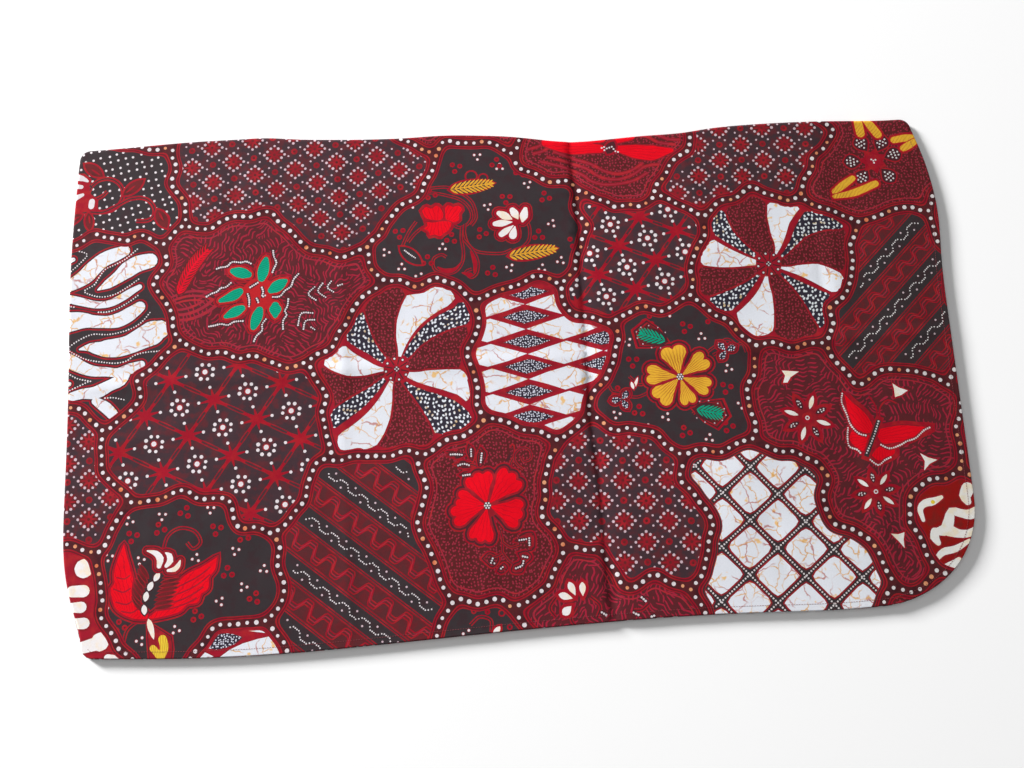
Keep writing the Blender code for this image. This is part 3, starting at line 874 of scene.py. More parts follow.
layered("garden", WHITE_PETALS, ("line", 5.6), ("seam_dark", 4.2), ("stem", 3.2), ("wax_petal", 0.0))
spot("garden", "line", 14, 177, 3.0, 8)
leaf("garden", "dark", -124, 153, 318, 34, 14, rim="line", rim_width=2.0)
beads("garden", [(-119, 149), (-112, 143), (-105, 138)], radius=1.0, pitch=2.2)


# Seven green leaves round a dotted heart, on a ground of little crimson worms. A red feather lies
# beside them.
for reach in (18, 15, 12, 9, 6, 3.5):
    echo = leaf_outline(-386 - reach, 92 - reach * 0.3, 10, 26 + reach * 3.0, reach * 2.0, belly=0.45)
    stamp("green_leaves", "worm" if reach in (18, 12, 6) else "worms", echo)
feather = curved([(-379, 108), (-375, 118), (-367, 134), (-358, 147), (-346, 160)], 4.0)
barbs = []
for k, (x, y) in enumerate(feather[:-1]):
    lean = 66 - 14 * k / len(feather)
    long = 10.5 * math.sin(math.pi * (0.24 + 0.62 * k / len(feather))) + 3
    for side in (-1, 1):
        line = [(x, y)]
        for share in (0.5, 1.0):
            turn = math.radians(lean + side * (56 - 22 * share))
            line.append((x + long * share * math.cos(turn), y + long * share * math.sin(turn)))
        barbs.append(stroke(line, (2.0, 1.5, 0.5), 4.0))
layered("green_leaves", barbs, ("maroon", 1.6), ("scarlet_deep", 0.0))
ribbon("green_leaves", "scarlet_deep", feather, 2.2)
GREEN_LEAVES = [
    # line and widths of each leaf
    ([(-317, 132), (-299, 127)], (7.5, 12.5, 13, 12.5, 8)), ([(-284, 122), (-279, 145)], (9, 13, 13, 11, 6)),
    ([(-273, 107), (-256, 118)], (8, 13.5, 14, 12, 5)), ([(-268, 89), (-268, 76)], (9, 15, 14, 10, 5)),
    ([(-286, 84), (-293, 64)], (9, 12.5, 13, 11, 7)), ([(-306, 87), (-325, 78)], (8, 12, 12.5, 9, 5)),
    ([(-309, 107), (-317, 102), (-331, 97)], (9, 12, 11, 8, 5)),
]
GREEN_LEAVES = [evenly(stroke(line, widths, 2.5), 2.8) for line, widths in GREEN_LEAVES]
layered("green_leaves", GREEN_LEAVES, ("line", 5.4), ("worms", 3.6), ("red_glow", 2.6))
spot("green_leaves", "red_glow", -287, 103, 20, 14)
for shape in GREEN_LEAVES:
    stamp("green_leaves", "green", shape, frame=(*shape.mean(0), 0.45, 22, 14))
for line in (
    [(-337, 135), (-331, 137), (-324, 138), (-318, 143), (-308, 142), (-302, 143), (-296, 140)],
    [(-271, 156), (-270, 148), (-267, 140), (-270, 133), (-272, 127)],
    [(-348, 102), (-341, 106), (-335, 108), (-331, 112), (-325, 113), (-319, 118)],
    [(-345, 67), (-338, 68), (-330, 69.5), (-322, 68), (-315, 71.5), (-304, 72)],
    [(-278, 74), (-283, 67), (-283, 60), (-289, 54), (-293, 46)],
    [(-253, 97), (-254, 88), (-257, 82), (-255, 77), (-259, 70), (-259, 60)],
    [(-272, 99), (-263, 99.5), (-257, 106), (-250, 111), (-247, 119), (-241, 126)],
    [(-298, 111), (-293, 114), (-288, 117)],
    [(-300, 105), (-298, 97), (-298, 89)],
    [(-284, 112), (-282, 106), (-283, 100), (-278, 102)],
    [(-290, 99), (-288, 95), (-287, 91)],
):
    beads("green_leaves", line, radius=1.2, pitch=2.5, under="seam_dark")
for line in (
    [(-222, 110), (-230, 101), (-221, 93)], [(-213, 114), (-219, 104), (-210, 96)],
    [(-203, 116), (-208, 108), (-201, 102)], [(-197, 109), (-190, 111)], [(-224, 78), (-238, 78), (-242, 64)],
    [(-222, 70), (-233, 69), (-236, 58)], [(-228, 62), (-221, 57)],
):
    beads("green_leaves", line, radius=1.1, pitch=2.5, under="seam_dark")


# Two wheels of swirling wedges. They follow each other as seeds, white wax with crackle, and wax rice on
# near-black, each edged with red.
AT = np.array([15, 35, 55, 75, 95.0])
WHEELS = [
    # island, x, y, and for each quarter the angles at `AT` of its white wedge's and its rice wedge's edges
    ("wheel_left", -130, 8, (
        ((-16, -5, -3, -3, -8), (-40, -32, -27, -25.5, -29), (-58, -42, -34, -31, -33.5),
         (-67, -61, -59.5, -60, -62)),
        ((82, 90, 89, 84.5, 79), (70, 67, 62, 55.5, 49.5), (63, 62, 58, 52, 46), (42, 44, 40.5, 36, 31)),
        ((187, 189.5, 186, 178, 168), (173, 161, 156, 150, 146), (156, 149, 149, 146, 143),
         (132, 129, 123, 119, 115)),
        ((254, 261, 261.5, 258, 253), (238, 239, 236, 232, 228), (228, 229, 228, 225, 223),
         (211, 213, 211, 211, 212)),
    )),
    ("wheel_right", 301, 113, (
        ((-16, -4.5, -2, -8, -14), (-25, -24, -26, -28, -28), (-38, -34, -32, -30.5, -31),
         (-46, -48, -51.5, -55, -57)),
        ((55, 80, 86, 85.5, 81), (47, 54, 59.4, 57.5, 54), (32, 43, 51, 52.3, 50), (22, 31, 34.7, 30.5, 24)),
        ((183.5, 183.6, 182, 179, 175), (160, 157, 154.5, 151.4, 149), (152, 151, 149, 147, 146),
         (137, 136, 133, 126, 121)),
        ((262, 271, 271, 269, 264), (250, 244.5, 238, 232.5, 227), (232, 232, 231, 228, 223),
         (222, 217, 212, 208.6, 206)),
    )),
]
HUB, STEP, EIGHTH_TURN = 12.0, 1.5, 0.785  # a wheel's middle, and the steps out along its edges
reach = np.arange(HUB, 140.0, STEP)
for where, x, y, quarters in WHEELS:
    edges = np.array([[np.interp(reach, AT, edge) for edge in quarter] for quarter in quarters])
    wedges = []
    for quarter in range(4):
        white_left, white_right, rice_left, rice_right = edges[quarter]
        following = edges[quarter - 1][0] - (360 if quarter == 0 else 0)
        gap = np.degrees(2.4 / reach)
        wedges += [("crackle", white_left, white_right, 15.5), ("rice", rice_left, rice_right, 19),
                   ("seeds", rice_right - gap, following + gap, 15)]
    for dye, left, right, start in wedges:
        outer = []
        for share in np.linspace(0, 1, 13):
            angle = np.radians(right + (left - right) * share)
            points = np.stack([x + reach * np.cos(angle), y + reach * np.sin(angle)], -1)
            stop = np.nonzero((depth_in(where, *points.T) < RING_LINE + 1.4) & (reach > 20))[0][0]
            outer.append((max(4, stop - round(3 * abs(2 * share - 1) ** 7)), points))
        from_start = int((start - HUB) / STEP)
        (first_stop, first), (last_stop, last) = outer[0], outer[-1]
        rim = np.array([points[stop] for stop, points in outer])
        wedge = np.vstack([first[from_start:first_stop:4], rim, last[from_start:last_stop:4][::-1]])
        layered(where, [wedge], ("seam_red", 1.1), (dye, 0.0))
    for k in range(8):
        aim = np.array([math.cos(k * EIGHTH_TURN + 0.55), math.sin(k * EIGHTH_TURN + 0.55)])
        ribbon(where, "seam_dark", [(x, y) + aim * 5, (x, y) + aim * 14], 1.4)
    for k in range(8):
        turn = k * EIGHTH_TURN + 0.2
        dot_x, dot_y = x + 12.4 * math.cos(turn), y + 12.4 * math.sin(turn)
        spot(where, "seam_dark", dot_x, dot_y, 2.2, 8)
        spot(where, "wax", dot_x, dot_y, 1.3, 6)
    spot(where, "seam_dark", x, y, 3.4, 9)
    for k in range(4):
        spot(where, "wax", x + 1.9 * math.cos(k * 1.571), y + 1.9 * math.sin(k * 1.571), 1.0, 5)


# Two islands of slanting bands: near-black bands with a zigzag of fine wax dots, between maroon ones
# with meandering lines.
ZIGZAG = 27.5  # the length of one wave of the dots


def slanting_bands(where, angle, period, through, rows):
    """Bands across an island: row 0 runs through a place, and the others lie a period apart."""
    turn = math.radians(angle)
    along, across = np.array([math.cos(turn), math.sin(turn)]), np.array([-math.sin(turn), math.cos(turn)])
    for row in rows:
        middle = np.array(through, float) + across * period * row
        dense = middle + along * np.linspace(-260, 260, 80)[:, None]
        kept = [k for k, p in enumerate(dense) if depth_in(where, *p) > -25]
        if not kept:
            continue
        dense = dense[kept]
        for width, dye in ((27.6, "seam_red"), (24.4, "dark"), (22.0, "seam_red"), (19.4, "dark")):
            ribbon(where, dye, dense, width)
        first, last = (dense[0] - middle) @ along, (dense[-1] - middle) @ along
        for s in np.arange(first, last, 2.45):
            lift = 3.4 * math.sin(2 * math.pi * s / ZIGZAG) + 0.8 * math.sin(6 * math.pi * s / ZIGZAG)
            x, y = middle + along * s + across * (lift + dice.uniform(-0.25, 0.25))
            if depth_in(where, x, y) > RING_LINE + 5:
                spot(where, "wax", x, y, 0.95, 5)
        half = ZIGZAG / 2
        for s in np.arange(math.floor(first / half) * half + 6.9, last, half):
            side = -1 if round((s - 6.9) / half) % 2 else 1
            x, y = middle + along * s - across * side * 4.6
            if depth_in(where, x, y) > RING_LINE + 5:
                spot(where, "wax_dim", x, y, 1.25, 6)
        hollow = period / 2 - 14.0
        for offset in (-3.4, 0.0, 3.4):
            steps = np.arange(first, last, 1.9)
            swing = np.clip(1.9 * np.sin(2 * np.pi * (steps / 26.0 + row * 0.37)), -1, 1)
            places = middle + along * steps[:, None]
            places = places + (across * ((swing * (hollow - 5.6) + offset) + period / 2)[:, None])
            ribbon(where, "line" if offset else "worm", places, 1.35)


slanting_bands("bands_right", 44.5, 47.0, (446, 126), (-3, -2, -1, 0, 1, 2))
slanting_bands("bands_left", -38.5, 51.5, (-164, -207), (-3, -2, -1, 0, 1, 2))
stamp("bands_right", "dark", [(352, 52), (372, 52), (392, 76), (386, 88), (366, 80)])


# The zebra island: round-ended bars of white wax with crackle. The dark stripes between them each carry
# a row of dots.
WHITE_BARS = [
    # line and widths of each white bar, from its foot to its round end
    ([(-512, 120), (-490, 133), (-480, 143), (-468, 153), (-452, 159.5), (-444, 162.5)],
     (12, 17, 20, 18, 17, 13)),
    ([(-473, 117), (-462, 123), (-450, 131), (-440, 139), (-428, 146), (-414, 149)], (2, 11, 15, 20, 20, 18)),
    ([(-512, 109), (-490, 103), (-475, 99), (-460, 99.5), (-447, 105), (-434, 113), (-425, 118)],
     (9, 10, 9, 8, 9, 9, 6)),
    ([(-512, 79), (-490, 81), (-475, 79), (-458, 78), (-445, 80.5), (-432, 88), (-424, 94)],
     (25, 21, 15, 14, 17, 17, 13)),
    ([(-491, 47), (-480, 49), (-468, 47), (-450, 47), (-435, 50), (-420, 57), (-405, 64), (-400, 66)],
     (2, 12, 20, 22, 22, 25, 29, 22)),
    ([(-512, 40), (-490, 27), (-475, 21), (-460, 19.5), (-446, 18), (-432, 22), (-420, 26)],
     (14, 16, 13, 11, 10, 13, 9)),
    ([(-498, -8), (-486, -5), (-470, -4), (-455, 3), (-443, 9), (-437, 20)], (10, 12, 15, 13, 15, 12)),
    ([(-470, -14), (-458, -22), (-450, -30)], (9, 13, 12)),
    ([(-514, 152), (-504, 155)], (6, 5)), ([(-514, 7), (-501, 7)], (4, 5)),
]
WHITE_BARS = [stroke(line, widths, 5.0) for line, widths in WHITE_BARS]
layered("zebra", WHITE_BARS, ("line", 3.0), ("seam_dark", 1.6), ("crackle", 0.0))
for line in (
    [(-508, 166), (-498, 165), (-488, 160), (-497, 149), (-509, 138)],
    [(-428, 165), (-442, 153), (-455, 146), (-466, 141), (-473, 131), (-478, 123), (-489, 116), (-478, 110),
     (-466, 108), (-452, 111), (-438, 119), (-424, 129)],
    [(-508, 99), (-498, 97)], [(-473, 90), (-460, 90), (-448, 94), (-436, 101), (-425, 109)],
    [(-411, 88), (-420, 77), (-430, 70), (-445, 65), (-460, 63), (-477, 64), (-492, 58), (-504, 48),
     (-492, 39), (-480, 34), (-465, 31), (-450, 29), (-437, 31), (-428, 37), (-416, 40), (-399, 41)],
    [(-504, 20), (-492, 13), (-476, 9)], [(-504, -2), (-490, 4), (-479, 9)],
    [(-461, -11), (-450, -11), (-437, -14)],
):
    beads("zebra", line, radius=1.0, pitch=3.1)


# The island of lozenges: white ones with crackle, and dark ones full of fine wax dots, on red. Its line
# turns muted on the inner side, as that of the white sliver at the bottom does.
for name in ("lozenges", "white_sliver"):
    fenced(name, 5.9, "seam_red")
    fenced(name, RING_LINE, "wheel_red")
lozenge_fence = fenced("lozenges", RING_LINE + 1.2)
for i, j, x, y in check_places("lozenges", (18.5, 4.5), (43.2, 14.6), (0, 29.2), -48):
    dark_one = i % 2 == 0
    half_x, half_y = (27.0, 8.2) if dark_one else (42.6, 13.5)
    if dark_one:
        stamp(lozenge_fence, "seam_red", [(x - 35, y), (x, y - 11.6), (x + 35, y), (x, y + 11.6)])
    corners = [(-half_x, 0), (-half_x / 2, -half_y * 0.53), (-2, -half_y), (half_x / 2, -half_y * 0.53)]
    corners += [(-a, -b) for a, b in corners]
    uneven = dice.uniform(-0.4, 0.4, (8, 2))
    lozenge = uneven + [(x + a, y + b) for a, b in corners]
    stamp(lozenge_fence, "fine_dots" if dark_one else "crackle", lozenge)


# The lattice island: dark dotted bars cross over white wax, in slanting squares. The wax between them
# stands as panes with a red edge.
CROSSING = np.array([225.0, -147.0])
ONE_WAY, OTHER_WAY = np.array([27.5, -31.0]), np.array([33.0, 27.0])
pane = np.array([(u * (0.5 - 0.095), v * (0.5 - 0.093)) for u, v in
                 ((1, 0.6), (0.92, 0.92), (0.6, 1), (-0.6, 1), (-0.92, 0.92), (-1, 0.6),
                  (-1, -0.6), (-0.92, -0.92), (-0.6, -1), (0.6, -1), (0.92, -0.92), (1, -0.6))])
fenced("lattice", RING_LINE + 1.4, "seam_red")
lattice_fence = fenced("lattice", RING_LINE + 2.4, "dark")
first_pane = CROSSING + (ONE_WAY + OTHER_WAY) / 2
for i, j, x, y in check_places("lattice", first_pane, ONE_WAY, OTHER_WAY, -24):
    uneven = dice.uniform(0.97, 1.03, (12, 1))
    shape = (x, y) + (pane[:, :1] * ONE_WAY + pane[:, 1:] * OTHER_WAY) * uneven
    layered(lattice_fence, [shape], ("seam_red", 1.7), ("crackle", 0.0))
for k in range(-6, 9):
    for start, way in ((CROSSING + OTHER_WAY * k, ONE_WAY), (CROSSING + ONE_WAY * k, OTHER_WAY)):
        for t in np.arange(-5, 8, 3.35 / np.hypot(*way)):
            x, y = start + way * t
            printed = abs(x) < PRINT_X + 5 and abs(y) < PRINT_Y - 2
            if printed and depth_in("lattice", x, y) > RING_LINE + 3:
                spot("lattice", "wax", x, y, 1.15, 5)


# The yellow flower's island, with two green sprigs and sown threes. The flower has six hatched petals,
# and two buds of three leaves stand beside it.
sown(
    "yellow_flower",
    [(183, 60), (217, 30), (133, 28), (170, -60), (115, -55), (216, -86), (255, -50), (244, -8), (150, -72)],
    [(200, 42), (137, 5), (240, -30), (190, -78), (140, -52), (238, -74), (158, 52), (118, -30), (228, 52)],
)
for line in (
    [(178, 18), (172, 24), (176, 30)], [(204, -48), (206, -52), (200, -58)], [(228, 8), (236, 12), (246, 14)],
    [(222, 12), (234, 20), (246, 26), (256, 18)], [(250, 16), (262, 20), (266, 10)],
    [(156, -30), (140, -36), (126, -34)], [(152, -20), (142, -22), (132, -12)],
    [(120, -30), (112, -28), (108, -20)],
):
    double_line("yellow_flower", line, 3.6)
flower(
    "yellow_flower", "yellow", 189, -15,
    [(101, 37, 33, 2), (34, 38, 23, 2), (-24, 36, 22, 2), (-75, 33, 19, 2), (-136, 38, 28, 2),
     (173, 38, 24, 2)],
    gap="wheel_red",
)
for foot, tip in (((176, 27), (147, 38)), ((204, -53), (232, -60))):
    foot, tip = np.array(foot, float), np.array(tip, float)
    way = (tip - foot) / np.hypot(*(tip - foot))
    across, middle = np.array([-way[1], way[0]]), (foot + tip) / 2
    for size, dye in ((1.0, "line"), (0.88, "seam_dark"), (0.78, "seam_red"), (0.70, "maroon")):
        kite = [
            middle - way * 22 * size,
            middle - across * 13 * size - way * 4,
            middle - across * 19 * size + way * 14 * size,
            middle + way * 26 * size,
            middle + across * 19 * size + way * 14 * size,
            middle + across * 13 * size - way * 4,
        ]
        stamp("yellow_flower", dye, kite)
    for k in range(9):
        turn = math.radians(-130 + 32.5 * k)
        x, y = middle + way * 19 * math.cos(turn) + across * 12.5 * math.sin(turn)
        spot("yellow_flower", "wax_dim", x, y, 0.9, 5)
    ear("yellow_flower", "green", foot, tip, width=17, rim="seam_dark", barbs=7)
for x, y, turns in ((243, 13, (20, 130, 235)), (122, -38, (50, 185, 300))):
    leaflets = [leaf_outline(x, y, turn, 13, 8, belly=0.6) for turn in turns]
    layered("yellow_flower", leaflets, ("line", 3.4), ("seam_dark", 2.0), ("seam_red", 1.2))
    for turn in turns:
        leaf("yellow_flower", "fine_dots", x, y, turn, 12, 7.5, belly=0.62)
for angle, length, width in ((68, 15, 3.2), (104, 9, 3.8)):
    leaf("yellow_flower", "wax_petal", 136, -27, angle, length, width, rim="stem", rim_width=1.4)


# The bird's island: two red wings with hatched feathers, a white breast and crest, and yellow tail
# feathers.
sown(
    "bird",
    [(-390, -146), (-337, -141), (-447, -188), (-412, -193), (-352, -193), (-309, -187), (-278, -208),
     (-325, -240), (-450, -243), (-410, -278), (-372, -268), (-426, -150), (-300, -226)],
    [(-365, -143), (-422, -167), (-330, -163), (-317, -210), (-288, -238), (-350, -254), (-432, -262),
     (-455, -214), (-300, -172), (-340, -222), (-392, -160)],
)
for line in ([(-388, -184), (-383, -168), (-370, -160), (-354, -164), (-347, -176), (-355, -183),
              (-362, -176)],
             [(-400, -262), (-392, -276), (-378, -280)],
             [(-412, -256), (-424, -266), (-428, -280)]):
    double_line("bird", line, 4.2)
BIRD_WINGS = [
    # outline of each wing, then the lines between its feathers
    ([(-431, -175), (-437, -190), (-441, -205), (-440, -216), (-444, -222), (-442, -232), (-438, -242),
      (-428, -250), (-414, -255), (-402, -254), (-407, -246), (-416, -238), (-421, -226), (-420, -212),
      (-424, -198), (-428, -186)],
     ([(-423, -208), (-429, -212), (-438, -210)], [(-422, -222), (-430, -226), (-441, -222)],
      [(-418, -234), (-426, -239), (-438, -236)], [(-412, -243), (-420, -248), (-432, -246)])),
    ([(-329, -193), (-331, -206), (-337, -214), (-338, -226), (-345, -231), (-349, -240), (-360, -242),
      (-368, -249), (-384, -253), (-402, -255), (-394, -248), (-385, -240), (-378, -229), (-371, -218),
      (-360, -209), (-344, -202)],
     ([(-374, -224), (-362, -219), (-348, -212), (-336, -203)],
      [(-380, -233), (-364, -228), (-349, -221), (-336, -211)],
      [(-386, -241), (-368, -237), (-354, -231), (-343, -224)],
      [(-394, -247), (-376, -245), (-360, -240), (-350, -235)])),
]
BIRD_WINGS = [(rounded(wing), lines) for wing, lines in BIRD_WINGS]
layered("bird", [wing for wing, _ in BIRD_WINGS], ("line", 5.0), ("seam_dark", 3.4), ("stem", 2.2))
for wing, lines in BIRD_WINGS:
    stamp("bird", "scarlet", wing, frame=(-402, -254, 1.2, 90, 60))
    for line in lines:
        ribbon("bird", "wheel_red", curved(line), 1.5)
for k in range(8):
    lean = 1.6 * k if k > 2 else 3.2
    leaf("bird", "maroon", -399 + lean, -245 + k * 4.6, 9, 23 - abs(k - 4) * 0.8, 3.5, rim="seam_red",
         rim_width=1.0)
    leaf("bird", "maroon", -413 + lean * 0.9, -246 + k * 4.8, 124, 18, 3.7, rim="seam_red", rim_width=1.0)
for x, y, angle in ((-397, -216, 58), (-403, -226, 66), (-406, -237, 80), (-406, -251, 96)):
    leaf("bird", "wax_petal", x, y, angle, 11, 6.2, rim="seam_dark", rim_width=1.4)
CREST = [stroke(line, widths, 3.0) for line, widths in (
    ([(-392, -200), (-391, -192), (-396, -186), (-405, -183)], (5, 8, 6, 1.5)),
    ([(-384, -200), (-380, -195), (-381, -189), (-385, -186)], (4, 7, 6, 1.5)),
    ([(-382, -205), (-375, -204), (-371, -200), (-369, -195)], (3, 5.5, 5, 1.5)))]
layered("bird", CREST, ("line", 5.2), ("seam_dark", 3.8), ("seam_red", 2.8), ("wax_petal", 0.0))
TAIL = [(-403, -258), (-388, -268), (-377, -275), (-375, -288), (-377, -304), (-398, -304), (-401, -280)]
layered("bird", [TAIL], ("line", 2.4), ("seam_dark", 1.0), ("seam_red", 0.0))
leaf("bird", "wax_petal", -402, -255, -73, 23, 6.5, rim="seam_red", rim_width=1.2, belly=0.4)
for line, widths in (([(-386, -277), (-384, -286), (-388, -300)], (9, 9, 6)),
                     ([(-396, -286), (-390, -293), (-387, -300)], (7, 7, 5))):
    stamp("bird", "lemon", stroke(line, widths, 3.0), frame=(-388, -310, 1.57, 60, 30))


# The red flower's island: six broad notched petals, with buds and rosettes about them. Rows of wax dots
# run over the buds, each on a dark strip.
SPRIGS = [
    # outlines of the little leaves and buds that carry dots
    [(-78, -88), (-66, -88), (-54, -92), (-66, -97)], [(-69, -103), (-58, -99), (-46, -106), (-58, -108)],
    [(-64, -115), (-56, -111), (-46, -115), (-55, -120)], [(-52, -80), (-45, -88), (-48, -101), (-54, -90)],
    [(-38, -84), (-32, -94), (-40, -109), (-43, -96)], [(-42, -207), (-33, -200), (-22, -207), (-30, -217)],
    [(-6, -190), (2, -182), (16, -181), (17, -198), (9, -201), (6, -193)],
    [(-3, -202), (8, -200), (14, -208), (6, -216), (2, -224), (-10, -223), (-8, -214), (0, -210)],
    [(-26, -221), (-18, -212), (-13, -218), (-20, -224)],
    [(-19, -112), (-8, -92), (-2, -84), (-4, -100)],
]
SPRIGS = [rounded(shape) for shape in SPRIGS]
layered("red_flower", SPRIGS, ("line", 1.6), ("seam_dark", -0.1), ("seam_red", -1.4), ("seeds", -2.4))
for line in (
    [(-20, -178), (-18, -190), (-20, -202), (-30, -206)], [(-18, -190), (-10, -196), (0, -194)],
    [(-19, -200), (-14, -208), (-8, -214)], [(-40, -112), (-44, -106), (-50, -104)],
    [(-2, -116), (-6, -106), (-2, -98)],
    [(8, -112), (0, -104), (-1, -95), (7, -88), (16, -91), (17, -100), (9, -103), (6, -97)],
):
    double_line("red_flower", line, 3.2, core_width=1.0)
flower(
    "red_flower", "scarlet", -33, -150,
    [(106, 38, 35, 3), (47, 46, 33, 3), (-18, 40, 35, 3), (-104, 40, 29, 3), (-163, 41, 24, 2),
     (163, 35, 21, 2)],
)
for line in (
    [(-73, -92), (-66, -92), (-58, -93)], [(-65, -105), (-58, -103), (-51, -105)], [(-60, -116), (-50, -115)],
    [(-49, -86), (-49, -96)], [(-37, -91), (-39, -104)],
    [(-1, -189), (8, -188)], [(11, -186), (11, -196)], [(2, -206), (10, -208)],
    [(-6, -219), (2, -216), (4, -210)],
    [(-33, -209), (-27, -213)], [(-29, -206), (-32, -213)], [(-22, -219), (-18, -216)],
):
    beads("red_flower", line, radius=1.15, pitch=2.5, under="seam_dark")


# The butterfly's island, with two eight-rayed stars and white three-cornered pieces on worms. Its four
# wings are red and hatched, and its body is a dotted bar.
def rayed_star(x, y, reach, turn):
    """A star of eight leaves, plain and dotted by turns."""
    for long, wide, dye, more in ((1.15, 0.42, "line", 1.6), (1.06, 0.34, "seam_red", 0.0)):
        rays = [leaf_outline(x, y, turn + 45 * k, reach * long, reach * wide) for k in range(8)]
        layered("butterfly", rays, (dye, more))
    for k in range(8):
        angle = math.radians(turn + 45 * k)
        foot_x, foot_y = x + reach * 0.40 * math.cos(angle), y + reach * 0.40 * math.sin(angle)
        if k % 2:
            leaf("butterfly", "seam_dark", foot_x, foot_y, turn + 45 * k, reach * 0.56, reach * 0.26)
            for a, b in ((0.14, 0.0), (0.28, 0.05), (0.28, -0.05), (0.42, 0.02), (0.38, -0.04)):
                dot_x = foot_x + reach * (a * math.cos(angle) - b * math.sin(angle))
                dot_y = foot_y + reach * (a * math.sin(angle) + b * math.cos(angle))
                spot("butterfly", "wax", dot_x, dot_y, 0.95, 5)
        else:
            leaf("butterfly", "wax_petal", foot_x, foot_y, turn + 45 * k, reach * 0.62, reach * 0.19)
    spot("butterfly", "line", x, y, 6.4, 10)
    spot("butterfly", "wax", x, y, 2.6, 8)
    spot("butterfly", "seam_red", x, y, 1.4, 6)


rayed_star(327, -68, 26, 70)
rayed_star(393, -153, 23, 52)
WINGS = [
    # outline of each of the butterfly's wings, and the way its hatching runs
    ([(371, -43), (379, -53), (390, -64), (397, -76), (398, -86), (388, -88), (378, -80), (373, -64)], 118),
    ([(406, -84), (418, -82), (432, -81), (448, -83), (463, -85), (450, -91), (436, -97), (420, -100),
      (407, -100), (402, -90)], 10),
    ([(376, -82), (384, -87), (394, -92), (392, -100), (386, -108), (378, -104), (371, -94)], 190),
    ([(393, -113), (402, -104), (414, -103), (420, -110), (412, -116), (400, -119)], 250),
]
WINGS = [(rounded(wing, 2.8), angle) for wing, angle in WINGS]
layered("butterfly", [wing for wing, _ in WINGS], ("line", 5.2))
for wing, angle in WINGS:
    stamp("butterfly", "seam_red", outlined(wing, 1.2))
    stamp("butterfly", "scarlet", wing, frame=(400, -92, math.radians(angle), 60, 30))
for line in (
    [(369, -41), (367, -52), (371, -66), (374, -78), (382, -88), (391, -91)],
    [(371, -80), (369, -92), (370, -102), (378, -106), (382, -111)],
    [(404, -101), (414, -106), (426, -103), (434, -99), (444, -96), (454, -88), (463, -84)],
    [(390, -117), (399, -124), (407, -119), (414, -116)],
):
    beads("butterfly", line, radius=1.15, pitch=2.5, under="seam_red")
ribbon("butterfly", "line", [(408, -70), (385, -118)], 9.0)
ribbon("butterfly", "dark", [(406, -74), (387, -114)], 5.2)
beads("butterfly", [(406, -74), (398, -92), (387, -112)], radius=1.1, pitch=3.0)
for line in ([(407, -72), (409, -60), (418, -52), (428, -56)], [(405, -72), (404, -58), (398, -46)]):
    ribbon("butterfly", "line", curved(line), 1.8)
THREE_POINTS = [
    # x, y, and the corners of each three-cornered piece from there
    (304, -13, [(0, 0), (19, -2), (9, -8), (5, -14), (0, -14), (3, -6)]),
    (426, -33, [(0, 0), (6, -5), (16, -9), (8, -14), (1, -16), (1, -6)]),
    (447, -114, [(0, 1), (8, -4), (18, -7), (9, -11), (2, -18), (4, -8)]),
    (404, -199, [(0, 0), (8, -1), (15, 1), (13, -7), (13, -16), (8, -9)]),
    (470, -150, [(0, 0), (7, -2), (13, 0), (8, -7), (4, -11)]),
]
for x, y, shape in THREE_POINTS:
    shape = [(x + a, y + b) for a, b in shape]
    layered("butterfly", [shape], ("line", 1.8), ("wax_petal", 0.0))


# The smaller islands along the sides: white meanders and blobs on brick red, cream petals on worms, a
# wreath with yellow petals, and a half-seen red flower.
MEANDERS = [
    # line and widths of each white piece
    ([(441, -186), (439, -174), (445, -168), (455, -166), (464, -162)], (4, 6, 8, 9, 4)),
    ([(494, -154), (490, -162), (492, -168)], (14, 13, 8)),
    ([(452, -199), (451, -205), (454, -211)], (9, 10, 6)),
    ([(453, -199), (464, -197), (469, -187), (473, -178), (482, -180), (492, -182), (503, -178)],
     (7, 13, 12, 9, 9, 11, 11)),
    ([(467, -198), (478, -202), (489, -202), (501, -197)], (13, 9, 8, 8)),
    ([(449, -229), (458, -221), (472, -218), (488, -210)], (5, 8, 7, 4)),
    ([(454, -238), (464, -236), (474, -230)], (6, 9, 6)),
]
MEANDERS = [stroke(line, widths, 4.0) for line, widths in MEANDERS]
layered("meander", MEANDERS, ("seam_red", 1.5), ("wax_petal", 0.0))
spot("meander", "lemon", 454, -167, 2.4, 6)
BLOBS = [
    # line and widths of each white blob
    ([(-486, -223), (-473, -223)], (12, 13)),
    ([(-486, -240), (-475, -240)], (10, 12)), ([(-482, -257), (-471, -257)], (11, 12)),
    ([(-490, -284), (-476, -283), (-458, -279)], (9, 12, 14)), ([(-444, -294), (-436, -296)], (8, 9)),
]
BLOBS = [stroke(line, widths, 4.0) for line, widths in BLOBS]
BLOBS += [star_outline(-474, -199, 10.4, 10.1, 8), star_outline(-453, -277, 9.9, 9.6, 8)]
layered("white_blobs", BLOBS, ("seam_red", 2.4), ("wax_petal", 0.0))
for shape in (
    [(-352, -287), (-343, -291), (-331, -297), (-352, -306)],
    [(-327, -300), (-314, -291), (-300, -285), (-284, -281), (-272, -279), (-266, -287), (-258, -300)],
    [(-311, -266), (-300, -264), (-288, -266), (-280, -270), (-276, -275), (-290, -273), (-303, -270)],
):
    layered("white_sliver", [shape], ("seam_red", 1.6), ("crackle", 0.0))
leaf("white_sliver", "fine_dots", -342, -284, 7, 42, 16, rim="seam_red", rim_width=1.6, belly=0.42)

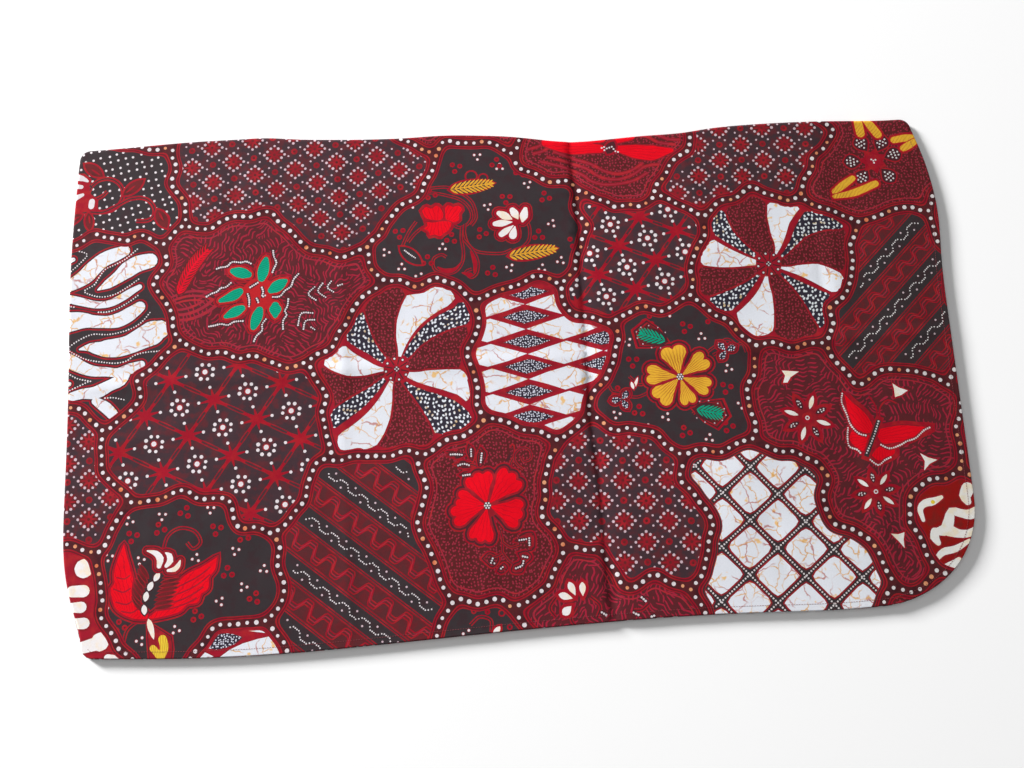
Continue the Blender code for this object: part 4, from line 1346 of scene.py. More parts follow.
for line in ([(58, -262), (52, -274), (60, -284), (72, -280)], [(38, -250), (30, -262), (36, -272)],
             [(74, -252), (84, -262), (80, -274)], [(136, -262), (128, -268), (120, -268)]):
    double_line("cream_petals", line, 4.0, core="seam_dark")
for x, y, angle, length, width in (
    (58, -250, 114, 16, 7.5), (66, -251, 90, 15, 7), (55, -253, 162, 16, 7.5), (53, -261, 222, 13, 9),
):
    leaf("cream_petals", "wax_petal", x, y, angle, length, width, rim="line", rim_width=3.4, belly=0.6)
for line in ([(128, -254), (134, -260)], [(118, -270), (126, -274)], [(137, -276), (143, -274)],
             [(84, -268), (90, -272)]):
    beads("cream_petals", line, radius=1.4, pitch=2.8, under="seam_dark")
for x, y, radius in ((-22, -265, 4.0), (-52, -262, 3.0), (-14, -280, 3.2)):
    spot("dark_patch", "line", x, y, radius, 9)
    spot("dark_patch", "dark", x, y, radius - 1.6, 7)
double_line("dark_patch", [(-56, -276), (-46, -268), (-34, -272), (-34, -284)], 4.0)
leaf("dark_patch", "wax_petal", -32, -288, 50, 12, 6, rim="line")
sown("dark_patch", [(-60, -285), (-6, -292)], [(-38, -258), (2, -285)])

for turn in (15, 62, 118, 180, 232, 308):
    x, y = 437 + 15 * math.cos(math.radians(turn)), 235 + 15 * math.sin(math.radians(turn))
    shape = leaf_outline(x, y, turn, 19, 15, belly=0.6)
    layered("yellow_wreath", [shape], ("line", 2.8), ("seam_dark", 1.2))
    dots = ((4, 0), (8, -3), (8, 1), (8, 4), (12, -5), (12, -1.5), (12, 2), (12, 5.4), (16, -2), (16, 2))
    for dot_x, dot_y in set_at(dots, x, y, turn):
        spot("yellow_wreath", "wax", dot_x, dot_y, 1.25, 5)
stamp("yellow_wreath", "line", star_outline(437, 235, 17, 11, 7, 0.4))
spot("yellow_wreath", "wheel_red", 437, 235, 8.5, 10)
for dx, dy in ((0, 0), (2.6, 1), (-2.2, 1.6), (0.6, -2.6)):
    spot("yellow_wreath", "wax", 437 + dx, 235 + dy, 1.2, 5)
WREATH_PETALS = [([(424, 294), (425, 280), (426, 270)], (8, 10, 10)),
                 ([(431, 292), (440, 278), (446, 268)], (6, 10, 10)),
                 ([(492, 262), (478, 262), (464, 260)], (7, 9, 8)),
                 ([(490, 258), (480, 252), (474, 249)], (7, 9, 8)),
                 ([(387, 198), (398, 206), (410, 214)], (7, 9, 7)),
                 ([(386, 192), (410, 196), (436, 206)], (5, 9, 8))]
WREATH_PETALS = [evenly(stroke(line, widths, 3.0), 3.0) for line, widths in WREATH_PETALS]
layered("yellow_wreath", WREATH_PETALS, ("line", 2.8))
for shape in WREATH_PETALS:
    stamp("yellow_wreath", "red_glow", outlined(shape, 1.0))
    stamp("yellow_wreath", "yellow", shape, frame=(*shape.mean(0) - (40, 40), 1.2, 60, 30))

for line in (
    [(44, 252), (70, 244), (92, 234), (104, 224), (122, 219), (150, 222), (170, 232)],
    [(52, 258), (76, 250), (98, 241), (112, 230), (130, 225), (150, 229), (168, 240), (184, 242)],
    [(60, 264), (84, 254), (104, 246), (120, 236), (136, 232), (152, 236), (166, 245)],
    [(150, 282), (172, 278), (186, 270), (206, 266)], [(160, 284), (180, 282), (196, 274), (212, 272)],
    [(36, 262), (50, 266), (60, 274)], [(30, 268), (44, 272), (52, 280)],
):
    ribbon("red_edge", "seam_red", curved(line, 4.0), 4.2)
    ribbon("red_edge", "worm", curved(line, 4.0), 1.5)
RED_PETALS = [stroke(line, widths, 4.0) for line, widths in (
    ([(52, 276), (76, 269), (100, 267), (116, 265)], (10, 15, 15, 10)), ([(92, 280), (118, 278)], (14, 10)),
    ([(138, 264), (156, 260), (176, 257), (200, 259)], (8, 17, 19, 5)),
    ([(136, 274), (152, 280)], (6, 12)))]
layered("red_edge", RED_PETALS, ("seam_red", 1.4), ("scarlet", 0.0), frame=(128, 266, 0.0, 90, 30))
leaf("red_edge", "seam_dark", 124, 258, 60, 18, 12, rim="line")
for x, y in ((118, 266), (121, 267), (124, 265), (127, 266), (130, 267), (132, 264), (134, 261), (137, 260),
             (121, 263)):
    spot("red_edge", "wax", x, y, 1.2, 5)


# The dyes. A batik is waxed and dyed again and again, so every colour is a little cloudy, white is
# undyed cotton under cracked wax, and the red shows through. The cloth is a fine plain weave.
def add_node(tree, kind, settings=None, inputs=None):
    """One more node in a tree. An input is a plain value, or the socket that feeds it."""
    made = tree.nodes.new(kind)
    for key, value in (settings or {}).items():
        setattr(made, key, value)
    for key, value in (inputs or {}).items():
        if isinstance(value, bpy.types.NodeSocket):
            tree.links.new(value, made.inputs[key])
        else:
            made.inputs[key].default_value = value
    return made


class Amount:
    """A number that varies over the cloth. Sums written with it become Math nodes."""

    def __init__(self, dye, socket):
        self.dye, self.socket = dye, socket

    def sum(self, operation, *values):
        inputs = {k: v.socket if isinstance(v, Amount) else v for k, v in enumerate(values)}
        return Amount(self.dye, self.dye.node("Math", {"operation": operation}, inputs).outputs[0])

    def __add__(self, other):
        return self.sum("ADD", self, other)

    def __radd__(self, other):
        return self.sum("ADD", other, self)

    def __sub__(self, other):
        return self.sum("SUBTRACT", self, other)

    def __rsub__(self, other):
        return self.sum("SUBTRACT", other, self)

    def __mul__(self, other):
        return self.sum("MULTIPLY", self, other)

    def __rmul__(self, other):
        return self.sum("MULTIPLY", other, self)

    def __truediv__(self, other):
        return self.sum("DIVIDE", self, other)

    def __abs__(self):
        return self.sum("ABSOLUTE", self)

    def wave(self, length):
        """From -1 to 1 and back, once in each length."""
        return self.sum("SINE", self * (2 * math.pi / length))

    def part(self):
        """What is left after the whole number."""
        return self.sum("FRACT", self)

    def between(self, low, high):
        """0 below low, 1 above high, soft between."""
        settings = {"interpolation_type": "SMOOTHSTEP"}
        inputs = {"Value": self.socket, "From Min": low, "From Max": high}
        return Amount(self.dye, self.dye.node("MapRange", settings, inputs).outputs["Result"])


class Dye:
    """One dyed finish of the cotton, built up from nodes."""

    def __init__(self, name, view=(0.5, 0.1, 0.1)):
        self.material = bpy.data.materials.new(name)
        self.material.use_nodes = True
        self.material.diffuse_color = (*view, 1)
        self.tree = self.material.node_tree
        self.tree.nodes.clear()
        self.cloth = self.node("UVMap", {"uv_map": "cloth"}).outputs["UV"]

    def node(self, kind, settings=None, inputs=None):
        return add_node(self.tree, "ShaderNode" + kind, settings, inputs)

    def noise(self, size, detail=1.0, shift=0.0):
        """A cloudy amount from 0 to 1 with features about `size` metres across."""
        place = self.node("Mapping", {}, {"Vector": self.cloth, "Location": (shift, shift * 0.7, 0)})
        inputs = {"Vector": place.outputs[0], "Scale": 1 / size, "Detail": detail}
        made = self.node("TexNoise", {"noise_dimensions": "2D"}, inputs)
        return Amount(self, made.outputs[0])

    def blend(self, amount, first, second, way="MIX"):
        """The second colour over the first, by an amount."""
        inputs = {0: amount.socket if isinstance(amount, Amount) else amount, 6: first, 7: second}
        return self.node("Mix", {"data_type": "RGBA", "blend_type": way}, inputs).outputs[2]

    def grains(self, pitch, long, wide, uneven=0.48):
        """1 inside little slanting grains, 0 between them."""
        inputs = {"Vector": self.cloth, "Scale": 1 / pitch, "Randomness": uneven}
        cells = self.node("TexVoronoi", {"voronoi_dimensions": "2D"}, inputs)
        inputs = {0: self.cloth, 1: cells.outputs["Position"]}
        away = self.node("VectorMath", {"operation": "SUBTRACT"}, inputs)
        lot = self.node("SeparateColor", {}, {0: cells.outputs["Color"]})
        turn = self.noise(0.050, 0.0, 2.4) * 2.6 - 0.9
        spin = 0 - turn - Amount(self, lot.outputs[0]) * (4 * uneven - 1.0)
        inputs = {"Vector": away.outputs[0], "Angle": spin.socket}
        turned = self.node("VectorRotate", {"rotation_type": "Z_AXIS"}, inputs)
        local = self.node("SeparateXYZ", {}, {0: turned.outputs[0]})
        x, y = Amount(self, local.outputs[0]) / long, Amount(self, local.outputs[1]) / wide
        size = Amount(self, lot.outputs[1]) * 0.35 + 0.82
        return 1 - ((x * x + y * y) / size).between(0.75, 1.25)

    def finish(self, colour, cloudy=0.16):
        """Adds the cotton's unevenness and weave to a colour, and the shader."""
        cloud = self.noise(0.045, 3.0, 4.1)
        fleck = self.noise(0.0016, 1.0, 9.3)
        shade = 1.0 - cloudy / 2 + cloud * cloudy - 0.05 + fleck * 0.10
        place = self.node("SeparateXYZ", {}, {0: self.cloth})
        x, y = Amount(self, place.outputs[0]), Amount(self, place.outputs[1])
        drift = x.between(0.06, 0.42) * cloudy
        inputs = {k: (shade - drift * much).socket for k, much in enumerate((1.1, 0.9, 1.15))}
        grey = self.node("CombineColor", {}, inputs)
        colour = self.blend(1.0, colour, grey.outputs[0], "MULTIPLY")
        weave = x.wave(0.00072) * y.wave(0.00072) + 0.8 * self.noise(0.0011, 1.0, 2.2)
        inputs = {"Height": weave.socket, "Strength": 0.35, "Distance": 0.00012}
        bump = self.node("Bump", {}, inputs)
        rough = 0.80 + 0.10 * (self.noise(0.02, 2.0, 6.6) - 0.5)
        shader = self.node(
            "BsdfPrincipled",
            {},
            {
                "Base Color": colour,
                "Roughness": rough.socket,
                "Specular IOR Level": 0.08,
                "Sheen Weight": 0.01,
                "Sheen Roughness": 0.45,
                "Normal": bump.outputs[0],
            },
        )
        self.node("OutputMaterial", {}, {"Surface": shader.outputs[0]})
        return self.material


def srgb(red, green, blue):
    """A dye's colour, from the numbers of a colour card."""
    return (*(((v / 255 + 0.055) / 1.055) ** 2.4 if v > 10 else v / 3294.6 for v in (red, green, blue)), 1.0)


NEAR_BLACK, DARK_RED, INK = srgb(57, 49, 52), srgb(74, 28, 36), srgb(54, 48, 62)
CRIMSON, WAX = srgb(156, 16, 38), srgb(226, 228, 236)


def plain_dye(name, colour, second=None):
    """One flat dye, clouded here and there towards a second colour."""
    dye = Dye(name, colour[:3])
    if second:
        shown = dye.blend(dye.noise(0.012, 2.0, 1.7).between(0.42, 0.72), colour, second)
    else:
        shown = dye.blend(dye.noise(0.009, 2.0, 1.7), colour, tuple(v * 0.88 for v in colour[:3]) + (1.0,))
    return dye.finish(shown)


def line_dye():
    """The crimson of the island lines, which have a darker thread of dye along their middle."""
    dye = Dye("crimson_line", CRIMSON[:3])
    depth = Amount(dye, dye.node("Attribute", {"attribute_name": "island_depth"}).outputs["Fac"])
    core = 1 - abs(depth - 6.3).between(0.5, 0.95)
    shown = dye.blend(dye.noise(0.010, 2.0, 1.7).between(0.35, 0.75), CRIMSON, srgb(168, 32, 38))
    return dye.finish(dye.blend(core * 0.75, shown, DARK_RED))


def grain_dye(name, ground, grain, pitch, long, wide, uneven, tint=None):
    """A ground full of little grains, some of them tinted."""
    dye = Dye(name, ground[:3])
    marks = dye.grains(pitch, long, wide, uneven=uneven)
    shown = dye.blend(dye.noise(0.014, 2.0, 3.3), ground, tuple(v * 0.7 for v in ground[:3]) + (1.0,))
    if tint:
        grain = dye.blend(dye.noise(0.011, 1.0, 5.7).between(0.60, 0.72), grain, tint)
    return dye.finish(dye.blend(marks, shown, grain))


def crackle_dye():
    """Undyed cotton. The wax on it cracked, so fine veins of red and stains of ochre run over it."""
    dye = Dye("crackle_white", WAX[:3])
    bend = dye.noise(0.014, 3.0, 8.0)
    bent = dye.node("VectorMath", {"operation": "ADD"}, {0: dye.cloth})
    inputs = {0: (bend * 0.013).socket, 1: (dye.noise(0.017, 3.0, 3.0) * 0.013).socket}
    shift = dye.node("CombineXYZ", {}, inputs)
    dye.tree.links.new(shift.outputs[0], bent.inputs[1])

    def veins(size, width, shift_by):
        """1 on cracks of a width, in the clouds where the wax cracked."""
        inputs = {"Vector": bent.outputs[0], "Scale": 1 / size, "Randomness": 1.0}
        cells = dye.node("TexVoronoi", {"voronoi_dimensions": "2D", "feature": "DISTANCE_TO_EDGE"}, inputs)
        gap = Amount(dye, cells.outputs["Distance"]) * size
        here = dye.noise(0.022, 1.0, shift_by).between(0.40, 0.58)
        return (1 - gap.between(width * 0.3, width)) * here

    stain = dye.noise(0.012, 2.0, 5.1).between(0.66, 0.76)
    shown = dye.blend(stain * 0.8, WAX, srgb(238, 182, 78))
    shown = dye.blend(veins(0.027, 0.0011, 1.1) * 0.8, shown, srgb(182, 102, 92))
    shown = dye.blend(veins(0.015, 0.0009, 6.1) * 0.85, shown, srgb(220, 164, 92))
    return dye.finish(shown, cloudy=0.04)


def petal_dye(name, colour, hatch, count, width, parallel=False):
    """A petal's dye, with fine darker lines that spread from its foot, or run across it side by side."""
    dye = Dye(name, colour[:3])
    place = dye.node("SeparateXYZ", {}, {0: dye.node("UVMap", {"uv_map": "motif"}).outputs["UV"]})
    along, across = Amount(dye, place.outputs[0]), Amount(dye, place.outputs[1])
    line = along * 1.7 + across if parallel else across / (abs(along) + 0.30)
    wander = dye.noise(0.008, 2.0, 2.9) * 0.9
    ray = abs((line * count + wander).part() - 0.5)
    fade = 1.0 if parallel else 1 - along.between(0.45, 0.95) * 0.75
    mark = (1 - ray.between(width * 0.4, width)) * fade
    shown = dye.blend(dye.noise(0.012, 2.0, 1.2), colour, tuple(v * 0.82 for v in colour[:3]) + (1.0,))
    return dye.finish(dye.blend(mark * 0.85, shown, hatch))


def worm_dye():
    """Near-black with crimson worms: short wavering strokes side by side, now one way and now another."""
    dye = Dye("worm_ground")
    quarter = dye.node("TexVoronoi", {"voronoi_dimensions": "2D"}, {"Vector": dye.cloth, "Scale": 1 / 0.032})
    lot = dye.node("SeparateColor", {}, {0: quarter.outputs["Color"]})
    inputs = {"Vector": dye.cloth, "Angle": (Amount(dye, lot.outputs[0]) * 3.1).socket}
    turned = dye.node("VectorRotate", {"rotation_type": "Z_AXIS"}, inputs).outputs[0]
    turned = dye.node("SeparateXYZ", {}, {0: turned})
    x_there, y_there = Amount(dye, turned.outputs[0]), Amount(dye, turned.outputs[1])
    inputs = {0: x_there.socket, 1: (y_there * 0.28).socket}
    inputs = {"Vector": dye.node("CombineXYZ", {}, inputs).outputs[0], "Scale": 1 / 0.0115, "Detail": 0.0}
    waver = Amount(dye, dye.node("TexNoise", {"noise_dimensions": "2D"}, inputs).outputs[0])
    bent_x = x_there + dye.noise(0.040, 1.0, 1.1) * 0.014
    bent_y = y_there + dye.noise(0.040, 1.0, 5.5) * 0.014 + waver * 0.0085
    place = dye.node("CombineXYZ", {}, {0: (bent_x / 2.8).socket, 1: bent_y.socket}).outputs[0]
    inputs = {"Vector": place, "Scale": 1 / 0.0049, "Randomness": 0.50}
    cells = dye.node("TexVoronoi", {"voronoi_dimensions": "2D"}, inputs)
    away = dye.node("VectorMath", {"operation": "SUBTRACT"}, {0: place, 1: cells.outputs["Position"]})
    away = dye.node("SeparateXYZ", {}, {0: away.outputs[0]})
    along, across = Amount(dye, away.outputs[0]) * (2.8 / 0.0055), Amount(dye, away.outputs[1]) / 0.00080
    mark = 1 - (along * along * along * along + across * across).between(0.6, 1.5)
    ground = dye.blend(dye.noise(0.014, 2.0, 3.3), srgb(80, 37, 42), srgb(102, 34, 40))
    return dye.finish(dye.blend(mark, ground, srgb(164, 34, 58)))


DYES = {
    "channel": plain_dye("channel", srgb(86, 34, 38), srgb(68, 28, 34)),
    "line": line_dye(),
    "stem": plain_dye("stem_crimson", srgb(158, 17, 38), srgb(166, 26, 38)),
    "wax": plain_dye("wax_dot", srgb(230, 220, 224)),
    "wax_dim": plain_dye("fine_wax_dot", srgb(212, 184, 194)),
    "tinted_wax": plain_dye("orange_wax_dot", srgb(226, 158, 118), srgb(214, 112, 76)),
    "dark": plain_dye("near_black", NEAR_BLACK, srgb(60, 44, 48)),
    "dusk": plain_dye("dusky_black", srgb(66, 47, 53), srgb(92, 41, 47)),
    "band": plain_dye("band_maroon", srgb(90, 40, 44), srgb(104, 34, 40)),
    "maroon": plain_dye("maroon", srgb(108, 34, 38), srgb(88, 34, 36)),
    "worms": worm_dye(),
    "worm": plain_dye("worm_crimson", srgb(158, 40, 58), srgb(176, 40, 48)),
    "seeds": grain_dye("seed_ground", srgb(98, 36, 38), srgb(154, 44, 62), 0.0037, 0.00122, 0.00084, 0.78),
    "rice": grain_dye("rice_ground", INK, WAX, 0.0048, 0.00165, 0.00115, 0.70, srgb(204, 176, 140)),
    "fine_dots": grain_dye("fine_dot_ground", INK, srgb(214, 214, 228), 0.0027, 0.00084, 0.00074, 0.70),
    "crackle": crackle_dye(),
    "wax_petal": plain_dye("white_petal", srgb(238, 232, 232), srgb(240, 224, 204)),
    "wheel_red": plain_dye("wheel_red", srgb(156, 22, 42), srgb(166, 32, 40)),
    "seam_red": plain_dye("seam_red", srgb(140, 26, 38), srgb(164, 32, 42)),
    "seam_dark": plain_dye("seam_dark", srgb(72, 36, 42), srgb(86, 34, 42)),
    "scarlet": petal_dye("scarlet_petal", srgb(240, 4, 30), srgb(190, 8, 32), 6.0, 0.12),
    "scarlet_deep": plain_dye("deep_scarlet", srgb(224, 6, 40), srgb(206, 10, 36)),
    "red_glow": plain_dye("glow_red", srgb(192, 34, 40)),
    "yellow": petal_dye("yellow_petal", srgb(240, 182, 56), srgb(170, 74, 34), 9.0, 0.22),
    "lemon": petal_dye("lemon_petal", srgb(238, 206, 62), srgb(196, 120, 40), 9.0, 0.18),
    "green": petal_dye("green_leaf", srgb(2, 176, 138), srgb(6, 124, 100), 4.5, 0.24, True),
    "brick": plain_dye("brick_red", srgb(147, 20, 18), srgb(128, 30, 26)),
    "wrong_side": plain_dye("wrong_side", srgb(132, 62, 66), srgb(98, 52, 58)),
}


# The panel on top, the quarter of the cloth that shows. It rolls over the left and the top fold, and its
# other two edges are turned under as a narrow hem. The print is cut into it as faces, each in its dye.
RIM_ROWS = np.array([
    # the rows along the cloth, in millimetres, at the left fold, the top fold and the hem
    (0.0, 0.0, 0.0), (2.5, 2.0, 3.0), (4.4, 4.0, 6.0), (5.2, 5.0, 7.2), (5.9, 6.0, 7.5), (6.6, 7.0, 7.8),
    (7.3, 7.8, 8.1), (7.9, 8.6, 8.4), (8.4, 9.4, 8.7), (8.9, 10.1, 9.0), (9.4, 10.8, 9.4), (9.9, 11.5, 9.8),
    (10.5, 12.2, 10.6), (11.2, 12.9, 12.6), (12.0, 13.5, 15.2),
])
rim_loops = [(ring + ring_out * (ring_kinds @ row)[:, None] / 1000) * 1000 for row in RIM_ROWS]


def loose_points(spacing):
    """A slightly uneven grid of points over the packet's face."""
    points = []
    for i in range(int(1040 / spacing)):
        for j in range(int(640 / spacing)):
            points.append((-520 + spacing * (i + 0.5 * (j % 2)), -320 + spacing * j))
    return np.array(points) + dice.uniform(-0.12, 0.12, (len(points), 2)) * spacing


def crease_points(step):
    """Rows of points along the creases, so that the faces bend there."""
    points = []
    for ax, ay, bx, by, left, right, height in CREASES:
        way = np.array([bx - ax, by - ay]) * 1000
        length = np.hypot(*way)
        across = np.array([way[1], -way[0]]) / length
        for side in (-left * 1.1, -left * 0.5, 0.0, right * 0.5, right * 1.1):
            along = np.arange(3, length, step)[:, None] / length
            wander = 1.6 * np.sin(along * 9.0 + ax * 40) + 0.8 * np.sin(along * 23.0 + ay * 70)
            points.append(np.array([ax, ay]) * 1000 + way * along + across * (side * 1000 - wander))
    points = np.vstack(points)
    return points[(np.abs(points[:, 0]) < 505) & (np.abs(points[:, 1]) < 300)]


def overlaid():
    """Lays every outline over the others. Returns points, triangles and each triangle's top stamp."""
    coords, faces = [], []
    for where, dye, outline, own, group in stamps:
        faces.append(list(range(len(coords), len(coords) + len(outline))))
        coords += outline.tolist()
    faces.append(list(range(len(coords), len(coords) + len(rim_loops[-1]))))
    coords += rim_loops[-1].tolist()
    made = delaunay_2d_cdt(coords, [], faces, 0, 1e-5, True)
    points, sources = np.array([tuple(v) for v in made[0]]), made[5]
    kept = [k for k, s in enumerate(sources) if len(stamps) in s]
    triangles = np.array([made[2][k] for k in kept])
    pair_tri = np.repeat(np.arange(len(kept)), [len(sources[k]) for k in kept])
    pair_stamp = np.concatenate([sources[k] for k in kept])
    low = np.array([outline.min(0) for _, _, outline, _, _ in stamps] + [(9e9, 9e9)])
    high = np.array([outline.max(0) for _, _, outline, _, _ in stamps] + [(-9e9, -9e9)])
    middle = points[triangles].mean(1)[pair_tri]
    real = (middle > low[pair_stamp]).all(1) & (middle < high[pair_stamp]).all(1)
    pair_tri, pair_stamp = pair_tri[real], pair_stamp[real]
    keys = {key: n for n, key in enumerate(sorted({g for *_, g in stamps if g}))}
    group = np.array([keys.get(g, -1) for *_, g in stamps])
    kept_in = np.array([
        -1 if where is None else keys.get(f"{where} {RING_LINE}" if where in islands else where, -2)
        for where, *_ in stamps
    ])
    dyed = np.array([dye is not None for _, dye, *_ in stamps])
    count = len(keys) + 3
    allowed = kept_in[pair_stamp] == -1
    fences_here = np.unique(pair_tri * count + group[pair_stamp])
    allowed |= np.isin(pair_tri * count + kept_in[pair_stamp], fences_here)
    allowed &= dyed[pair_stamp]
    top_stamp = np.full(len(kept), -1)
    np.maximum.at(top_stamp, pair_tri[allowed], pair_stamp[allowed])
    return points, triangles, top_stamp


def seams_between(triangles, label):
    """The sides that part triangles of different labels."""
    a, b = triangles.ravel(), np.roll(triangles, -1, 1).ravel()
    key = np.minimum(a, b) * (triangles.max() + 1) + np.maximum(a, b)
    order = key.argsort(kind="stable")
    key, labels = key[order], np.repeat(label, 3)[order]
    pair = np.nonzero(key[1:] == key[:-1])[0]
    key = key[pair[labels[pair] != labels[pair + 1]]]
    return np.stack([key // (triangles.max() + 1), key % (triangles.max() + 1)], -1)


def simpler(points, sides, close=0.08, longest=6.0):
    """Takes out points that stand on a nearly straight run of sides."""
    luck = dice.random(len(points))
    for _ in range(9):
        ends = sides.ravel()
        order = ends.argsort(kind="stable")
        sorted_ends = ends[order]
        degree = np.bincount(ends, minlength=len(points))
        first = np.searchsorted(sorted_ends, np.arange(len(points)))
        two = np.nonzero(degree == 2)[0]
        one, other = order[first[two]], order[first[two] + 1]
        before, after = ends[one ^ 1], ends[other ^ 1]
        chord = points[after] - points[before]
        length = np.maximum(np.hypot(*chord.T), 1e-9)
        away = points[two] - points[before]
        off = abs(chord[:, 0] * away[:, 1] - chord[:, 1] * away[:, 0]) / length
        good = (off < close) & (length < longest) & (before != after)
        chance = np.full(len(points), 2.0)
        chance[two[good]] = luck[two[good]]
        pick = good & (chance[two] < chance[before]) & (chance[two] < chance[after])
        if not pick.any():
            break
        sides = sides.copy()
        flat_sides = sides.reshape(-1)
        flat_sides[one[pick]] = after[pick]
        dropped = np.zeros(len(sides), bool)
        dropped[other[pick] // 2] = True
        sides = sides[~dropped]
    return sides


def cut_print():
    """Cuts the flat panel along the seams that show. Returns its points, triangles and their stamps."""
    points, triangles, top_stamp = overlaid()
    hatched = np.array([dye in ("scarlet", "yellow", "lemon", "green") for _, dye, *_ in stamps] + [False])
    dye_numbers = {dye: n for n, dye in enumerate(dict.fromkeys(dye for _, dye, *_ in stamps))}
    label = np.array([dye_numbers[dye] for _, dye, *_ in stamps] + [-1])
    label = np.where(hatched[top_stamp], 1000 + top_stamp, label[top_stamp])
    sides = simpler(points, seams_between(triangles, label))
    used, sides = np.unique(sides, return_inverse=True)
    sides = sides.reshape(-1, 2)
    coords, edges = points[used].tolist(), []
    for a, b in sides.tolist():
        ax, ay, bx, by = *coords[a], *coords[b]
        parts = math.ceil(math.hypot(bx - ax, by - ay) / 6.5)
        numbers = [a, *range(len(coords), len(coords) + parts - 1), b]
        coords += [(ax + (bx - ax) * k / parts, ay + (by - ay) * k / parts) for k in range(1, parts)]
        edges += list(zip(numbers, numbers[1:]))
    busy = {(int(x // 5), int(y // 5)) for x, y in coords}
    coords += [p for p in loose_points(10.0).tolist() if (int(p[0] // 5), int(p[1] // 5)) not in busy]
    coords += crease_points(8.0).tolist()
    for loop in rim_loops:
        numbers = list(range(len(coords), len(coords) + len(loop)))
        coords += loop.tolist()
        edges += list(zip(numbers, numbers[1:] + numbers[:1]))
    made = delaunay_2d_cdt(coords, edges, [numbers], 0, 1e-4, True)
    new_points = np.array([tuple(v) for v in made[0]])
    new_triangles = np.array([t for t, s in zip(made[2], made[5]) if s])
    finder = BVHTree.FromPolygons([(x, y, 0.0) for x, y in points], triangles.tolist())
    middles = new_points[new_triangles].mean(1)
    found = [finder.ray_cast((x, y, 1.0), (0.0, 0.0, -1.0))[2] for x, y in middles]
    found = np.array([-1 if n is None else n for n in found])
    return new_points, new_triangles, np.where(found < 0, -1, top_stamp[found])


def border_of(triangles):
    """The loop of points round some triangles."""
    sides = np.concatenate([triangles[:, [0, 1]], triangles[:, [1, 2]], triangles[:, [2, 0]]])
    sides = set(map(tuple, sides.tolist()))
    following = {a: b for a, b in sides if (b, a) not in sides}
    start = next(iter(following))
    loop, place = [start], following[start]
    while place != start:
        loop.append(place)
        place = following[place]
    return loop


def lining_of(border, loops, spacing, more=()):
    """Points and triangles of a plain sheet inside a border, whose points come first."""
    coords = np.vstack([border, *loops, loose_points(spacing), *more]).tolist()
    made = delaunay_2d_cdt(coords, [], [list(range(len(border)))], 0, 1e-5, True)
    place = {}
    for number, origins in enumerate(made[3]):
        for origin in origins:
            place[origin] = number
    triangles = np.array([t for t, s in zip(made[2], made[5]) if s and len(t) == 3])
    return np.array([tuple(v) for v in made[0]]), triangles, [place[k] for k in range(len(border))]


def joined(border, lining_border):
    """The triangles of a strip between two borders of as many points."""
    strip = []
    for k in range(len(border)):
        following = (k + 1) % len(border)
        a, b, c, d = border[k], border[following], lining_border[k], lining_border[following]
        strip += [(b, a, c), (b, c, d)]
    return np.array(strip)


def triangle_mesh(name, coords, faces):
    """A mesh of nothing but triangles."""
    mesh = bpy.data.meshes.new(name)
    mesh.vertices.add(len(coords))
    mesh.vertices.foreach_set("co", coords.ravel())
    mesh.loops.add(faces.size)
    mesh.loops.foreach_set("vertex_index", faces.ravel().astype(np.int32))
    mesh.polygons.add(len(faces))
    mesh.polygons.foreach_set("loop_start", np.arange(0, faces.size, 3, dtype=np.int32))
    return mesh


def cloth_maps(corner, printed, frames):
    """Maps for every corner of a shell's faces, from its flat place: the cloth's own, that of the bake,
    and the one that runs along each motif, for its hatching. The first `printed` corners face outwards."""
    maps = {"cloth": corner / 1000}
    back = (np.arange(len(corner)) >= printed)[:, None]
    spread = (corner + (530, 320)) / 1060
    maps["OFBake"] = np.where(back, spread * 0.62 + (0.0, 0.62), spread)
    if frames is not None:
        local = corner.copy()
        own = np.repeat(frames, 3, axis=0)
        away = corner[: len(own)] - own[:, :2]
        cos, sin = np.cos(own[:, 2]), np.sin(own[:, 2])
        local[: len(own), 0] = (away[:, 0] * cos + away[:, 1] * sin) / own[:, 3]
        local[: len(own), 1] = (away[:, 1] * cos - away[:, 0] * sin) / own[:, 4]
        maps["motif"] = local
    return maps


PRESSED = 0.0008


